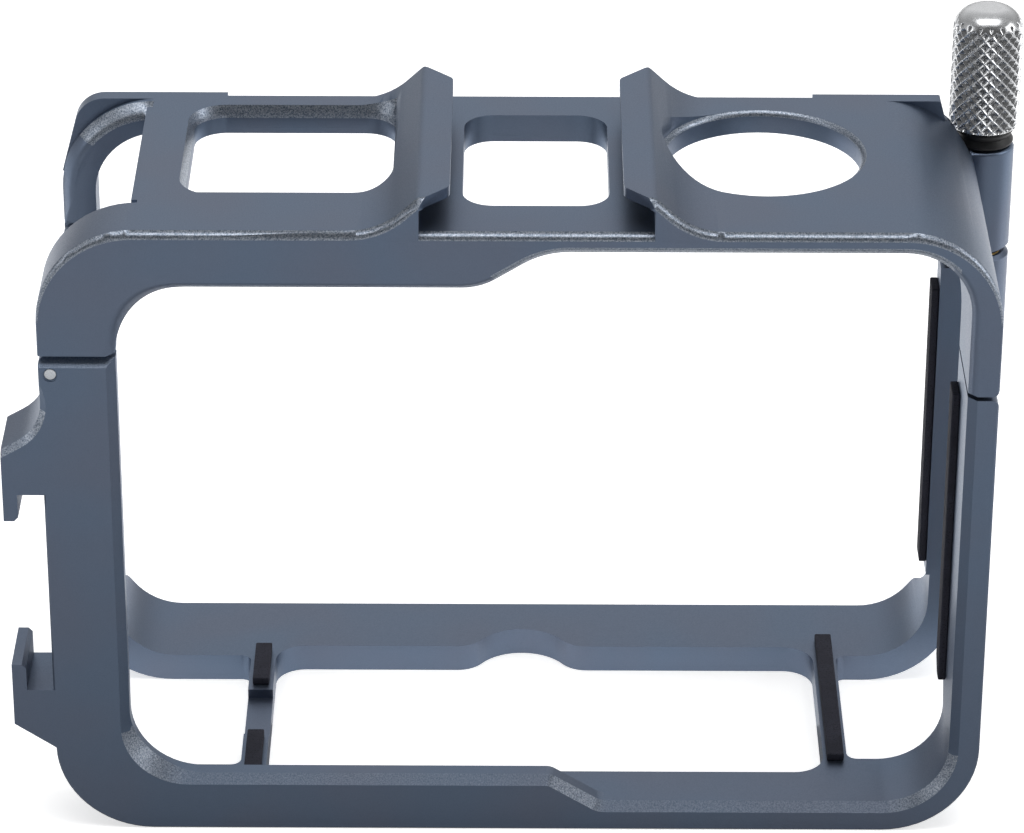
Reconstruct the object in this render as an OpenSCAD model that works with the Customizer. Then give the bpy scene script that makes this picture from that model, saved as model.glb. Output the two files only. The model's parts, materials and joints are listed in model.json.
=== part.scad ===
// Camera cage: a light alloy frame that opens like a shell round a small action camera.
// The lower frame and the upper frame turn on two pins down the left side and are closed by a
// captive thumb screw at the far right corner. Cold-shoe rails stand on the top and on the left side.
// +Z is up, -Y is the near side, lengths are in millimetres, and the underside lies at z = 0.
// A depth is measured from the near face of the cage towards +Y.

/* [Cage body] */
// Width across the two side walls
cage_w = 77.7; // [70:0.1:95]
// Height of the closed cage without the shoe rails
cage_h = 56; // [48:0.1:70]
// Depth from the near face to the far face of the two rings
cage_d = 27.6; // [25:0.1:36]
// Thickness of the side walls
side_wall = 2.5; // [2:0.1:3.2]
// Thickness of the top plate
top_wall = 2.4; // [2:0.1:3.2]
// Thickness of the bottom strips
floor_wall = 2.5; // [2:0.1:3.2]
// Outer radius of the four long corners
corner_r = 8; // [6:0.1:10]
// Chamfer on the top edge of the near face
edge_c = 0.6; // [0.3:0.05:0.9]
// Chamfer on the other outer edges of the near face
side_c = 0.15; // [0.05:0.05:0.25]

/* [Near ring] */
// Depth of the left leg and of the bottom strip beside it
leg_d = 6.2; // [5.4:0.1:8]
// Depth of the right leg
bar_d = 9.3; // [8:0.1:11]
// Depth of the right leg where it turns into the bottom strip
bar_foot_d = 7.5; // [6:0.1:8]
// Height at which the right leg reaches its full depth
bar_foot_z = 12; // [10:0.1:16]
// Depth of the bottom strip between the crossbars
strip_d = 5.3; // [4.5:0.1:6]
// Thickness of the retaining lip on the left half
lip_d = 2; // [1.6:0.1:3]
// Reach of the retaining lip from the left wall
lip_side = 3.75; // [2.5:0.05:5]
// Reach of the retaining lip below the top plate
lip_top = 2.7; // [2:0.1:3.5]
// Reach of the retaining lip above the floor
lip_floor = 2.6; // [2:0.1:3.5]
// Inner corner radius of the retaining lip
lip_r = 6; // [5:0.1:7]
// Corner radius of the lip's chamfer at the near face
lip_mouth_r = 5.55; // [4:0.05:6]
// Chamfer round the near opening
mouth_c = 0.75; // [0.3:0.05:1]
// Depth of that chamfer along the upper right run
mouth_deep = 0.75; // [0.5:0.05:1.6]
// Rise of the ceiling on the right half of the near ring and over the round hole
rise = 0.5; // [0.1:0.05:0.6]
// Place where the upper lip starts to run out, from the middle
step_top_x = -4.6; // [-10:0.1:4]
// Place where the lower lip starts to run out, from the middle
step_floor_x = 2.4; // [-6:0.1:10]
// Slope of the lip's run-out in degrees
step_angle = 32; // [20:1:45]
// Radius where the upper lip bends away
step_top_bend = 5; // [1:0.1:6]
// Radius where the upper lip meets the plate
step_top_sweep = 7; // [1:0.1:8]
// Both bend radii of the lower lip's run-out
step_floor_bend = 1.4; // [0.5:0.1:3]

/* [Far ring] */
// Depth of the far legs and of the far strip at its left end
far_d = 3.1; // [2.6:0.1:4]
// Depth of the far strip at its right end
far_right_d = 2.8; // [2.4:0.1:4]
// Thickness of the left wall in the far ring
far_wall = 2.9; // [2.6:0.1:3.4]
// Thickness of the land on the inner face of the far right leg
land_t = 0.33; // [0.1:0.01:0.6]
// Height at which that land starts
land_z = 11; // [9:0.1:12]
// Depth of the far strip between the crossbars, inside the far face
far_mid_d = 1.35; // [1:0.05:2.5]
// Reach of the chin beyond the far face
chin_d = 6.2; // [4:0.1:8]
// Height of the chin's side walls at the far legs
chin_h = 9.5; // [8.5:0.1:12]
// Height of the chin's side walls at their far end
chin_tip = 5.9; // [4:0.1:8]
// Rounding of the far end of the chin's side walls
chin_r = 1.2; // [0.5:0.1:2]
// Radius of the half-round notch in the far strip
notch_r = 4.4; // [3:0.1:6]
// Rounding of the notch's two mouths
notch_lip = 2.6; // [1:0.1:3]
// Depth of the notch past the far face
notch_past = 1.7; // [0.5:0.1:3]
// Place of the notch from the middle
notch_x = 0.35; // [-5:0.05:5]
// Thickness of the squarer flange behind the upper corners
flange_d = 1.4; // [0.8:0.1:2]
// Corner radius of that flange
flange_r = 2.6; // [1.5:0.1:4]
// Lean of that flange's side in degrees
flange_lean = 15; // [5:1:25]
// Drop of that flange from the top down the side
flange_drop = 6.7; // [4:0.1:8]
// Distance from the right side where the flange's top ends
flange_end = 3.4; // [2:0.05:6]
// Half width of the relief in the far edge of the top plate
relief_x = 24.7; // [15:0.1:30]
// Depth of that relief
relief_d = 0.7; // [0.3:0.1:1.5]

/* [Crossbars] */
// Left edge of the left crossbar from the middle
bar_left_x = -23.8; // [-28:0.1:-18]
// Width of the left crossbar
bar_left_w = 2.2; // [2:0.1:4]
// Left edge of the right crossbar from the middle
bar_right_x = 26.3; // [20:0.05:28]
// Width of the right crossbar
bar_right_w = 2.05; // [1.8:0.05:4]
// Small corner radius of the bottom openings
floor_r = 0.9; // [0.4:0.1:1.5]
// Large corner radius of the middle bottom opening
sweep_r = 2.6; // [1:0.1:4]
// Depth at which the channel across the left crossbar starts
channel_from = 11.2; // [8:0.1:14]
// Length of that channel
channel_l = 7.4; // [3:0.1:9]
// Depth of that channel below the floor
channel_deep = 0.85; // [0.3:0.05:1.4]

/* [Parting] */
// Height of the parting on the left side
part_left_z = 44.6; // [41:0.1:48]
// Height of the parting on the right side
part_right_z = 41.2; // [38:0.1:46]
// Gap between the two frames
part_gap = 0.36; // [0.3:0.01:0.6]
// Chamfer on the near top edge of the lower left leg
part_c = 0.7; // [0.2:0.1:1]

/* [Hinge] */
// Radius of the hinge pins
pin_r = 0.5; // [0.4:0.05:0.7]
// Distance of the pins from the outer face of the left leg
pin_in = 0.97; // [0.9:0.01:1.25]
// Distance of the pins below the top of the lower leg
pin_drop = 1.33; // [1.2:0.01:1.8]
// Running clearance between a pin and the upper frame, on the radius
pin_run = 0.03; // [0.01:0.01:0.08]
// Seat clearance between a pin and the lower frame, on the radius
pin_seat = 0.02; // [0.01:0.01:0.04]
// Recess of a pin's end below the near face
pin_recess = 0.1; // [0.1:0.1:0.8]
// Width of the round mouth round the pin's end
pin_mouth = 0.13; // [0.05:0.01:0.3]
// Thickness of the near tongue on the upper frame
tongue_near = 2.4; // [1.6:0.1:3]
// Thickness of the far tongue on the upper frame
tongue_far = 1.1; // [0.8:0.1:1.4]
// Side clearance of a tongue in its slot
tongue_gap = 0.1; // [0.06:0.01:0.2]
// Rounding of the lower leg's top outer corner
knuckle_r = 0.5; // [0.3:0.1:0.8]

/* [Top plate] */
// Distance of the corner window's right edge from the left side
corner_win_w = 7.5; // [5:0.1:9]
// Left and right edge of the battery window
win_a_x = [-27.7, -10.3];
// Depth at which the battery window starts
win_a_from = 7.7; // [6:0.1:10]
// Distance of the battery window from the far face
win_a_far = 3.05; // [2:0.05:6]
// Corner radius of the battery window
win_a_r = 2.7; // [1:0.1:4]
// Width of the chamfer on the left and far edges of the battery window
win_a_c = 0.45; // [0.2:0.05:1.2]
// Depth of that chamfer
win_a_deep = 1; // [0.4:0.05:1.4]
// Left and right edge of the window between the shoe rails
win_b_x = [-4.65, 7.25];
// Depth at which that window starts
win_b_from = 5.35; // [4:0.05:8]
// Distance of that window from the far face
win_b_far = 4.55; // [3:0.05:8]
// Corner radius of that window
win_b_r = 2.5; // [1:0.1:4]
// Place of the round button hole from the middle
hole_x = 20.05; // [18:0.05:24]
// Distance of the round button hole's centre from the far face
hole_far = 11.8; // [10:0.1:14]
// Radius of the round button hole
hole_r = 8.1; // [6:0.05:9]
// Chamfer of the round button hole
hole_c = 0.4; // [0.1:0.1:0.8]
// Chamfer on the near side of the corner window
rim_near_c = 0.5; // [0.2:0.1:0.8]
// Chamfer on the far side of the corner window
rim_far_c = 1.2; // [0.2:0.1:1.4]
// Height of the top of the right side window below the top face
side_win_drop = 9.5; // [8:0.1:12]
// Corner radius of the side windows
side_win_r = 2; // [1:0.1:4]

/* [Top cold shoe] */
// Place of the shoe's centre line from the middle
shoe_x = 1.35; // [-4:0.05:4]
// Width between the undercut walls
shoe_w = 18.8; // [18.6:0.05:19]
// Height of the slot under the lips
shoe_h = 2.1; // [2:0.05:2.3]
// Thickness of the lips
shoe_lip_t = 0.9; // [0.7:0.05:1.5]
// Reach of each lip over the slot
shoe_lip_w = 2.45; // [2:0.05:3]
// Length of the rails from the near face
shoe_l = 26.5; // [18:0.1:27.4]
// Slope of the rails' outer flanks in degrees
shoe_flank = 43; // [35:1:55]
// Fillet at the foot of the flanks
shoe_foot_r = 6.2; // [1:0.1:7]
// Rounding of the rails' outer top edges
shoe_crown = 1; // [0.2:0.1:1.5]
// Length over which each lip end is cut back
shoe_lead = 2.6; // [1:0.1:4]
// Rounding of the tip of each cut-back lip
shoe_tip = 1; // [0.2:0.1:1.5]
// Chamfer on the near ends of the rails
shoe_c = 0.6; // [0.2:0.1:0.8]

/* [Side cold shoe] */
// Height of the slot's floor end above the underside
side_shoe_z = 13.6; // [12:0.1:14.5]
// Height between the slot's two ends
side_shoe_w = 18.6; // [18.6:0.05:19]
// Depth of the slot under the lips
side_shoe_h = 2.2; // [2:0.05:2.3]
// Thickness of the lips
side_lip_t = 1.2; // [0.8:0.05:1.5]
// Reach of each lip over the slot
side_lip_w = 2.45; // [2:0.05:3]
// Height of the upper bracket's outer face above the slot
side_head = 4; // [3:0.1:5]
// Height of the lower bracket's outer face below the slot
side_foot = 3.3; // [2.5:0.1:4]
// Slope of the brackets' ends in degrees
side_slope = 30; // [20:1:40]
// Fillet between the upper bracket and the leg
side_r = 4; // [2:0.1:5]
// Chamfer of the lip tips
side_tip_c = 0.35; // [0.1:0.05:0.5]
// Chamfer along the near edge of the upper bracket's slope
side_slope_c = 0.5; // [0.2:0.05:0.8]

/* [Thumb screw] */
// Distance of the screw's axis beyond the outer face of the right wall
screw_out = 0.58; // [0:0.1:2]
// Distance of the screw's axis beyond the far face
screw_past = 1.25; // [0.5:0.05:3]
// Radius of the knurled knob
knob_r = 2.95; // [2.5:0.05:3.6]
// Height of the knob
knob_h = 10.7; // [8:0.1:14]
// Radius of the dome edge of the knob
knob_round = 1.9; // [0.4:0.1:2.4]
// Radius of the screw's shank
stud_r = 1.25; // [1:0.05:1.5]
// Reach of the shank below the parting
stud_reach = 3; // [2:0.1:3.6]
// Running clearance between the shank and the upper boss, on the radius
stud_run = 0.06; // [0.02:0.01:0.1]
// Clearance between the shank and the threaded insert, on the radius
thread_gap = 0.38; // [0.3:0.01:0.5]
// Radius of the two bosses
boss_r = 2.7; // [2.5:0.05:3.2]
// Depth of the upper boss's top below the top face
boss_drop = 4.8; // [3:0.05:6]
// Length of the lower boss
boss_low = 11; // [8:0.1:16]
// Height of the cone below the lower boss
boss_cone = 4; // [2:0.1:6]
// Bevel on the ends of the bosses
boss_c = 0.35; // [0.1:0.05:0.5]
// Rounding of the right legs' outer corners at the parting
part_r = 0.6; // [0.2:0.1:1]
// Thickness of the black sealing ring
ring_t = 1.5; // [0.8:0.05:2.5]
// Width by which the ring is smaller than the knob
ring_in = 0.35; // [0.1:0.05:0.8]
// Clearance between the ring and the upper boss
ring_gap = 0.1; // [0.05:0.01:0.3]
// Clearance round the knob in the upper frame
knob_gap = 0.35; // [0.3:0.05:0.8]
// Thickness of the clip that keeps the screw captive
clip_t = 0.5; // [0.4:0.1:0.8]
// Outer radius of the clip
clip_r = 1.8; // [1.6:0.05:1.9]
// Clearance round the clip in its pocket
clip_gap = 0.2; // [0.1:0.05:0.3]
// Height of the clip's pocket
clip_pocket = 1.6; // [1.2:0.1:2.5]
// Wall of the threaded insert
insert_wall = 0.45; // [0.3:0.05:0.5]
// Length of the threaded insert
insert_l = 5; // [4:0.1:7]

/* [Pads] */
// Thickness of the foam pads on the floor and under the top
pad_t = 0.7; // [0.4:0.1:1]
// Thickness of the foam pads on the right wall
pad_wall_t = 0.65; // [0.4:0.05:1]
// Width of the foam pads on the crossbars
pad_w = 1.45; // [1:0.05:2]
// Length of the far pad on the left crossbar
pad_far_l = 6.2; // [3:0.1:7]
// Clearance between the far pad and the channel
pad_far_gap = 0.8; // [0.3:0.1:2]
// Length of the near pad on the left crossbar
pad_near_l = 5.9; // [2:0.1:6]
// Clearance between the near pad and the channel
pad_near_gap = 0.3; // [0.3:0.1:2]
// Length of the pad on the right crossbar
pad_right_l = 20.4; // [10:0.1:22]
// Distance of the pad on the right crossbar from the far face
pad_right_far = 0.1; // [0:0.1:4]
// Width of the two pads on the right wall
pad_wall_w = 2.5; // [1.5:0.1:2.6]
// Height at which the far wall pad starts
pad_wall_far_z = 12.2; // [11:0.1:16]
// Distance of the far wall pad below the parting
pad_wall_far_drop = 2.2; // [0.4:0.1:6]
// Height at which the near wall pad starts
pad_wall_near_z = 11; // [10.5:0.1:16]
// Distance of the near wall pad below the parting
pad_wall_near_drop = 2.8; // [0.4:0.1:6]
// Length of the bevel at the foot of the near wall pad
pad_wall_bevel = 1.2; // [0.2:0.1:2]
// Distance of the two pads under the top plate from the near and far faces
pad_top_in = 6; // [4:0.1:8]

/* [Hidden] */
$fn = 64;
// Small overlap that keeps cuts and joints clean
e = 0.01;
// Overlap of a straight chamfer with the round one it runs into
past = 0.1;
// Growth of a cone in a hollow corner, so that it takes in the ends of the straight chamfers
blend = 0.002;
// Length that reaches past the whole cage
far = 100;
// Length by which a cut starts outside the face it goes through
out = 1;
half_w = cage_w / 2;
near_y = -(cage_d + chin_d) / 2;
far_y = near_y + cage_d;
in_x = half_w - side_wall;
in_top = cage_h - top_wall;
in_r = corner_r - side_wall;
arc_x = half_w - corner_r;
lip_x = -in_x + lip_side;
lip_z0 = floor_wall + lip_floor;
lip_z1 = in_top - lip_top;
// Distance of the lip chamfer's corner centres from the lip, and the reach of the lip's own rounding there
lip_mouth_in = lip_mouth_r - mouth_c;
lip_over = lip_r - sqrt(pow(lip_r, 2) - pow(lip_r - lip_mouth_in, 2)) + e;
far_from = cage_d - far_d;
mouth_top = in_top + rise;
mid_z = cage_h / 2;
slot_z = cage_h + shoe_h;
rail_z = slot_z + shoe_lip_t;
rail_run = (rail_z - cage_h) / tan(shoe_flank);
rail_tan = shoe_foot_r * tan(shoe_flank / 2);
rail_foot = shoe_w / 2 + rail_run + rail_tan;
crown_tan = shoe_crown * tan(shoe_flank / 2);
crown_at = [shoe_w / 2 - crown_tan, rail_z - shoe_crown];
flank = [cos(shoe_flank), -sin(shoe_flank)];
flank_top = [shoe_w / 2, rail_z] + crown_tan * flank;
flank_low = [rail_foot - rail_tan, cage_h] - rail_tan * flank;
side_out = side_shoe_h + side_lip_t;
side_top = side_shoe_z + side_shoe_w;
side_head_z = side_top + side_head;
side_turn = side_r * [1 - cos(90 - side_slope), sin(90 - side_slope)];
side_crown = side_head_z + (side_out - side_turn.x) * tan(side_slope) + side_turn.y;
side_bend = [-half_w - side_turn.x, side_crown - side_turn.y];
pin_x = -half_w + pin_in;
pin_z = part_left_z - pin_drop;
tongue_r = pin_in - e * 2;
slot_in = tongue_r + tongue_gap;
slot_floor = pin_z - tongue_r - knuckle_r;
screw_x = half_w + screw_out;
screw_from = cage_d + screw_past;
screw_y = near_y + screw_from;
boss_top = cage_h - boss_drop;
boss_bottom = part_right_z + part_gap;
ring_z = boss_top + ring_gap;
knob_z = ring_z + ring_t;
insert_in = stud_r + thread_gap;
insert_r = insert_in + insert_wall;
hole_left = (win_b_x[1] + hole_x - hole_r - hole_c) / 2;
hole_y = far_y - hole_far;
pad_left_x = bar_left_x + (bar_left_w - pad_w) / 2;
pad_right_x = bar_right_x + (bar_right_w - pad_w) / 2;
shoe_left = shoe_x - shoe_w / 2;

// ---- outlines and placing ----

// Runs an outline seen from the near side from one depth to another
module across(d0, d1) {
  translate([0, near_y + d1, 0]) rotate([90, 0, 0]) linear_extrude(d1 - d0) children();
}

// Runs an outline of depth and height across the width
module along(x0, x1) {
  translate([x0, near_y, 0]) rotate([90, 0, 90]) linear_extrude(x1 - x0) children();
}

// Turns a round solid so that its axis runs along the depth from one point
module axis_at(x, z, d) {
  translate([x, near_y + d, z]) rotate([-90, 0, 0]) children();
}

module rounded(x0, x1, z0, z1, r) {
  corners(x0, x1, z0, z1, [r, r, r, r]);
}

// Rectangle with its own radius at each corner, counted round from the first point
module corners(x0, x1, z0, z1, r) {
  difference() {
    translate([x0, z0]) square([x1 - x0, z1 - z0]);
    translate([x0, z0]) fillet(r[0]);
    translate([x1, z0]) mirror([1, 0]) fillet(r[1]);
    translate([x1, z1]) mirror([1, 0]) mirror([0, 1]) fillet(r[2]);
    translate([x0, z1]) mirror([0, 1]) fillet(r[3]);
  }
}

// The corner that a fillet of radius r fills, with its point at the origin
module fillet(r) {
  difference() {
    translate([-e, -e]) square(r + e);
    translate([r, r]) circle(r);
  }
}

// Prism, seen from above, between two depths and with its own radius at each corner
module window(x0, x1, d0, d1, r, z0) {
  translate([0, near_y, z0]) linear_extrude(far - z0) corners(x0, x1, d0, d1, r);
}

// ---- near edge chamfers, each cut along one run of an outline ----

// Wedge of width c and depth d along a straight edge from p to q; its slope runs on past the edge by over
module edge_cut(p, q, c, d, over = 0) {
  deep = d * (1 + over / c);
  translate([p.x, near_y, p.y]) rotate([0, atan2(q.x - p.x, q.y - p.y), 0])
    linear_extrude(norm(q - p)) polygon([[-over - e, -e], [c, -e], [c, 0], [-over, deep], [-over - e, deep]]);
}

// Cone for a corner whose centre lies in the opening, from radius r at the near face
module hollow_cut(p, r, r_in, d) {
  axis_at(p.x, p.y, 0) cylinder(r1 = r + blend, r2 = r_in, h = d + blend);
}

// Sector outside a cone for a corner whose centre lies in the material
module round_cut(p, r, c, a0, a1) {
  reach = r + out;
  difference() {
    across(-out, c) polygon([p, for (a = [a0, (a0 + a1) / 2, a1]) p + reach * [cos(a), sin(a)]]);
    axis_at(p.x, p.y, -2 * out) cylinder(r = r - c, h = 2 * out + e);
    axis_at(p.x, p.y, 0) cylinder(r1 = r - c, r2 = r, h = c);
  }
}

// ---- the lip's run-out: bend, slope and sweep ----

function run_k(h, r1, r2) = min(1, 0.9 * h / ((r1 + r2) * (1 - cos(step_angle))));
function run_t1(r1) = r1 * [sin(step_angle), 1 - cos(step_angle)];
function run_l(h, r1, r2) = (h - (r1 + r2) * (1 - cos(step_angle))) / sin(step_angle);
function run_t2(h, r1, r2) = run_t1(r1) + run_l(h, r1, r2) * [cos(step_angle), sin(step_angle)];
function run_c2(h, r1, r2) = run_t2(h, r1, r2) + r2 * [sin(step_angle), -cos(step_angle)];

module run_out(h, r1, r2) {
  t1 = run_t1(r1);
  c2 = run_c2(h, r1, r2);
  difference() {
    union() {
      polygon([[0, 0], t1, run_t2(h, r1, r2), [c2.x, h], [c2.x, h + e], [0, h + e]]);
      intersection() {
        translate([0, r1]) circle(r1);
        square([t1.x, h + e]);
      }
    }
    translate(c2) circle(r2);
  }
}

top_k = run_k(lip_top + rise, step_top_bend, step_top_sweep);
top_r1 = step_top_bend * top_k;
top_r2 = step_top_sweep * top_k;
low_k = run_k(lip_floor, step_floor_bend, step_floor_bend);
low_r = step_floor_bend * low_k;
function top_at(p) = [step_top_x + p.x, lip_z1 + p.y];
function low_at(p) = [step_floor_x + p.x, lip_z0 - p.y];
top_c2 = top_at(run_c2(lip_top + rise, top_r1, top_r2));
low_c2 = low_at(run_c2(lip_floor, low_r, low_r));

module cavity() {
  rounded(-in_x, in_x, floor_wall, in_top, in_r);
}

module mouth() {
  rounded(lip_x, in_x, lip_z0, lip_z1, lip_r);
  difference() {
    union() {
      corners(step_top_x, in_x, mid_z, mouth_top, [0, 0, in_r, 0]);
      corners(step_floor_x, in_x, floor_wall, mid_z + e, [0, in_r, 0, 0]);
    }
    translate([step_top_x, lip_z1]) run_out(lip_top + rise, top_r1, top_r2);
    translate([step_floor_x, lip_z0]) mirror([0, 1]) run_out(lip_floor, low_r, low_r);
  }
}

// Chamfer cone in one corner of the lip; it runs out on the larger inner radius
module lip_corner(z, s) {
  r_in = sqrt(2) * lip_mouth_in - lip_r * (sqrt(2) - 1) - e;
  hollow_cut([lip_x + lip_mouth_in, z - s * lip_mouth_in], lip_mouth_r, r_in, lip_mouth_r - r_in);
}

module mouth_chamfer() {
  c = mouth_c;
  r = in_r + c;
  low_t1 = low_at(run_t1(low_r));
  low_t2 = low_at(run_t2(lip_floor, low_r, low_r));
  top_t1 = top_at(run_t1(top_r1));
  top_t2 = top_at(run_t2(lip_top + rise, top_r1, top_r2));
  edge_cut([lip_x + lip_mouth_in, lip_z0], [step_floor_x + past, lip_z0], c, c, lip_over);
  round_cut([step_floor_x, lip_z0 - low_r], low_r, c, 90, 90 - step_angle);
  edge_cut(low_t1 - past * [cos(step_angle), -sin(step_angle)], low_t2, c, c);
  hollow_cut(low_c2, low_r + c, low_r, c);
  edge_cut([low_c2.x, floor_wall], [in_x - in_r, floor_wall], c, c);
  hollow_cut([in_x - in_r, floor_wall + in_r], r, in_r, c);
  edge_cut([in_x, floor_wall + in_r], [in_x, mouth_top - in_r], c, c);
  hollow_cut([in_x - in_r, mouth_top - in_r], r, in_r, mouth_deep);
  edge_cut([in_x - in_r, mouth_top], [top_c2.x, mouth_top], c, mouth_deep);
  hollow_cut(top_c2, top_r2 + c, top_r2, c);
  edge_cut(top_t2, top_t1 - past * [cos(step_angle), sin(step_angle)], c, c);
  round_cut([step_top_x, lip_z1 + top_r1], top_r1, c, -90, -90 + step_angle);
  edge_cut([step_top_x + past, lip_z1], [lip_x + lip_mouth_in, lip_z1], c, c, lip_over);
  lip_corner(lip_z1, 1);
  edge_cut([lip_x, lip_z1 - lip_mouth_in], [lip_x, lip_z0 + lip_mouth_in], c, c, lip_over);
  lip_corner(lip_z0, -1);
}

// ---- the cage as one shell, before it is parted ----

module blank(d1) {
  top_r = corner_r - side_c;
  across(edge_c, d1) rounded(-half_w, half_w, 0, cage_h, corner_r);
  along(-arc_x, arc_x) polygon([[0, side_c], [side_c, 0], [edge_c + e, 0],
    [edge_c + e, cage_h], [edge_c, cage_h], [0, cage_h - edge_c]]);
  translate([0, near_y, corner_r]) linear_extrude(cage_h - 2 * corner_r)
    polygon([[side_c - half_w, 0], [half_w - side_c, 0], [half_w, side_c], [half_w, edge_c + e],
      [-half_w, edge_c + e], [-half_w, side_c]]);
  for (x = [-arc_x, arc_x]) {
    axis_at(x, corner_r, 0) cylinder(r1 = corner_r - side_c, r2 = corner_r, h = side_c);
    axis_at(x, corner_r, side_c) cylinder(r = corner_r, h = edge_c - side_c + e);
    // The upper corners' chamfer fades from the top edge to the side
    intersection() {
      axis_at(x, cage_h - corner_r, 0) cylinder(r = corner_r, h = edge_c + e);
      axis_at(x, cage_h - edge_c - top_r, 0)
        cylinder(r1 = top_r, r2 = top_r + edge_c + e, h = edge_c + e);
    }
  }
}

// Outline, in depth and height, of the chin beyond the far face
module chin_side() {
  d = cage_d + chin_d;
  polygon([[cage_d - e, -e], [d + e, -e], [d + e, chin_tip - chin_r], [d - chin_r, chin_tip],
    [cage_d - e, chin_h]]);
  translate([d - chin_r, chin_tip - chin_r]) circle(chin_r);
}

module shell() {
  difference() {
    union() {
      blank(cage_d);
      intersection() {
        across(cage_d - e, cage_d + chin_d) rounded(-half_w, half_w, 0, cage_h, corner_r);
        along(-half_w, half_w) chin_side();
      }
    }
    across(-e, lip_d + e) mouth();
    across(lip_d, far_from) cavity();
    across(far_from - e, cage_d + chin_d + e)
      rounded(-half_w + far_wall, in_x, floor_wall, in_top, in_r);
    across(lip_d, strip_d) corners(top_c2.x, in_x, mid_z, mouth_top, [0, 0, in_r, 0]);
    across(lip_d, cage_d + e) corners(hole_left - rise, in_x, mid_z, mouth_top, [0, 0, in_r, 0]);
    mouth_chamfer();
  }
  across(far_from, cage_d) translate([in_x - land_t, land_z])
    square([land_t + e, part_right_z - land_z]);
}

// ---- lower frame ----

// Openings in the bottom; the outer two run round the corners into the side windows
module floor_cuts() {
  mid_from = bar_left_x + bar_left_w;
  right_from = bar_right_x + bar_right_w;
  window(-far, bar_left_x, leg_d, far_from, [0, floor_r, floor_r, 0], -out);
  window(mid_from, bar_right_x, strip_d, cage_d - far_mid_d, [floor_r, sweep_r, sweep_r, sweep_r], -out);
  along(right_from + floor_r, far) right_side();
  window(right_from, in_x - in_r, bar_foot_d, cage_d - far_right_d, [floor_r, 0, 0, floor_r], -out);
}

// Half-round notch in the far strip with rounded mouths, seen from above
module notch() {
  edge = cage_d - far_mid_d;
  c = cage_d + notch_past - notch_r;
  up = edge + notch_lip - c;
  q = sqrt(pow(notch_r + notch_lip, 2) - pow(up, 2));
  t = notch_r / (notch_r + notch_lip) * [q, up];
  translate([notch_x, near_y, -out]) linear_extrude(mid_z) difference() {
    union() {
      translate([0, c]) circle(notch_r);
      polygon([[-q, edge - out], [q, edge - out], [q, edge], [t.x, c + t.y], [-t.x, c + t.y], [-q, edge]]);
    }
    for (x = [-q, q]) translate([x, edge + notch_lip]) circle(notch_lip);
  }
}

// Outline, in depth and height, of the right side window of the lower frame
module right_side() {
  polygon([[bar_foot_d, -out], [cage_d - far_right_d, -out], [cage_d - far_right_d, corner_r],
    [far_from, bar_foot_z], [far_from, far], [bar_d, far], [bar_d, bar_foot_z],
    [bar_foot_d, corner_r]]);
}

module lower_frame() {
  color("slategray") difference() {
    union() {
      intersection() {
        shell();
        union() {
          translate([-far, -far, -e]) cube([far, 2 * far, part_left_z + e]);
          translate([-e, -far, -e]) cube([far, 2 * far, part_right_z + e]);
        }
      }
      across(0, leg_d) side_shoe();
      lower_boss();
    }
    lower_cuts();
  }
}

module lower_cuts() {
  floor_cuts();
  notch();
  translate([bar_left_x - out, near_y + channel_from, floor_wall - channel_deep])
    cube([bar_left_w + 2 * out, channel_l, mid_z]);
  part_edge();
  side_shoe_end();
  hinge_slot(0, leg_d, tongue_near);
  hinge_slot(far_from, cage_d, tongue_far);
  axis_at(pin_x, pin_z, -out) cylinder(r = pin_r + pin_seat, h = cage_d + 2 * out);
  axis_at(pin_x, pin_z, -out) cylinder(r = pin_r + pin_mouth, h = out + pin_recess);
  translate([screw_x, screw_y, part_right_z - insert_l]) cylinder(r = insert_r, h = far);
}

// Chamfer on the near top edge of the lower left leg
module part_edge() {
  along(-far, 0) polygon([[-e, part_left_z - part_c], [part_c, part_left_z + e], [-e, part_left_z + e]]);
  for (d = [[-out, leg_d + out], [far_from - out, cage_d + out]]) across(d[0], d[1])
    translate([-half_w, part_left_z]) mirror([0, 1]) fillet(knuckle_r);
  across(-out, cage_d + out) translate([half_w, part_right_z]) mirror([1, 0]) mirror([0, 1]) fillet(part_r);
}

// Slot in a lower leg for one tongue, open to the top and to the outside
module hinge_slot(d0, d1, t) {
  mid = (d0 + d1) / 2;
  w = t / 2 + tongue_gap;
  translate([-far, near_y + mid - w, slot_floor]) cube([far + pin_x + slot_in, 2 * w, far]);
}

// Front outline of the two brackets of the side shoe
module side_shoe() {
  x = -half_w;
  out = x - side_out;
  lip = x - side_shoe_h;
  foot = side_shoe_z - side_foot;
  difference() {
    polygon([[x + edge_c, side_top], [lip, side_top], [lip, side_top - side_lip_w + side_tip_c],
      [lip - side_tip_c, side_top - side_lip_w], [out, side_top - side_lip_w], [out, side_head_z],
      side_bend, [x, side_crown], [x + edge_c, side_crown]]);
    translate([x - side_r, side_crown]) circle(side_r);
  }
  // The lower bracket runs down into the rounded corner
  polygon([[x + e, side_shoe_z], [lip, side_shoe_z], [lip, side_shoe_z + side_lip_w - side_tip_c],
    [lip - side_tip_c, side_shoe_z + side_lip_w], [out, side_shoe_z + side_lip_w], [out, foot],
    [x, foot - side_out * tan(side_slope) - side_tip_c], [x + corner_r / 2, corner_r / 2],
    [x + side_wall, side_shoe_z]]);
}

// Chamfer along the near edge of the upper bracket's slope and fillet
module side_shoe_end() {
  run = [cos(side_slope), sin(side_slope)];
  edge_cut([-half_w - side_out, side_head_z] - out * run, side_bend + past * run, side_slope_c, side_slope_c);
  hollow_cut([-half_w - side_r, side_crown], side_r + side_slope_c, side_r, side_slope_c);
}

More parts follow.
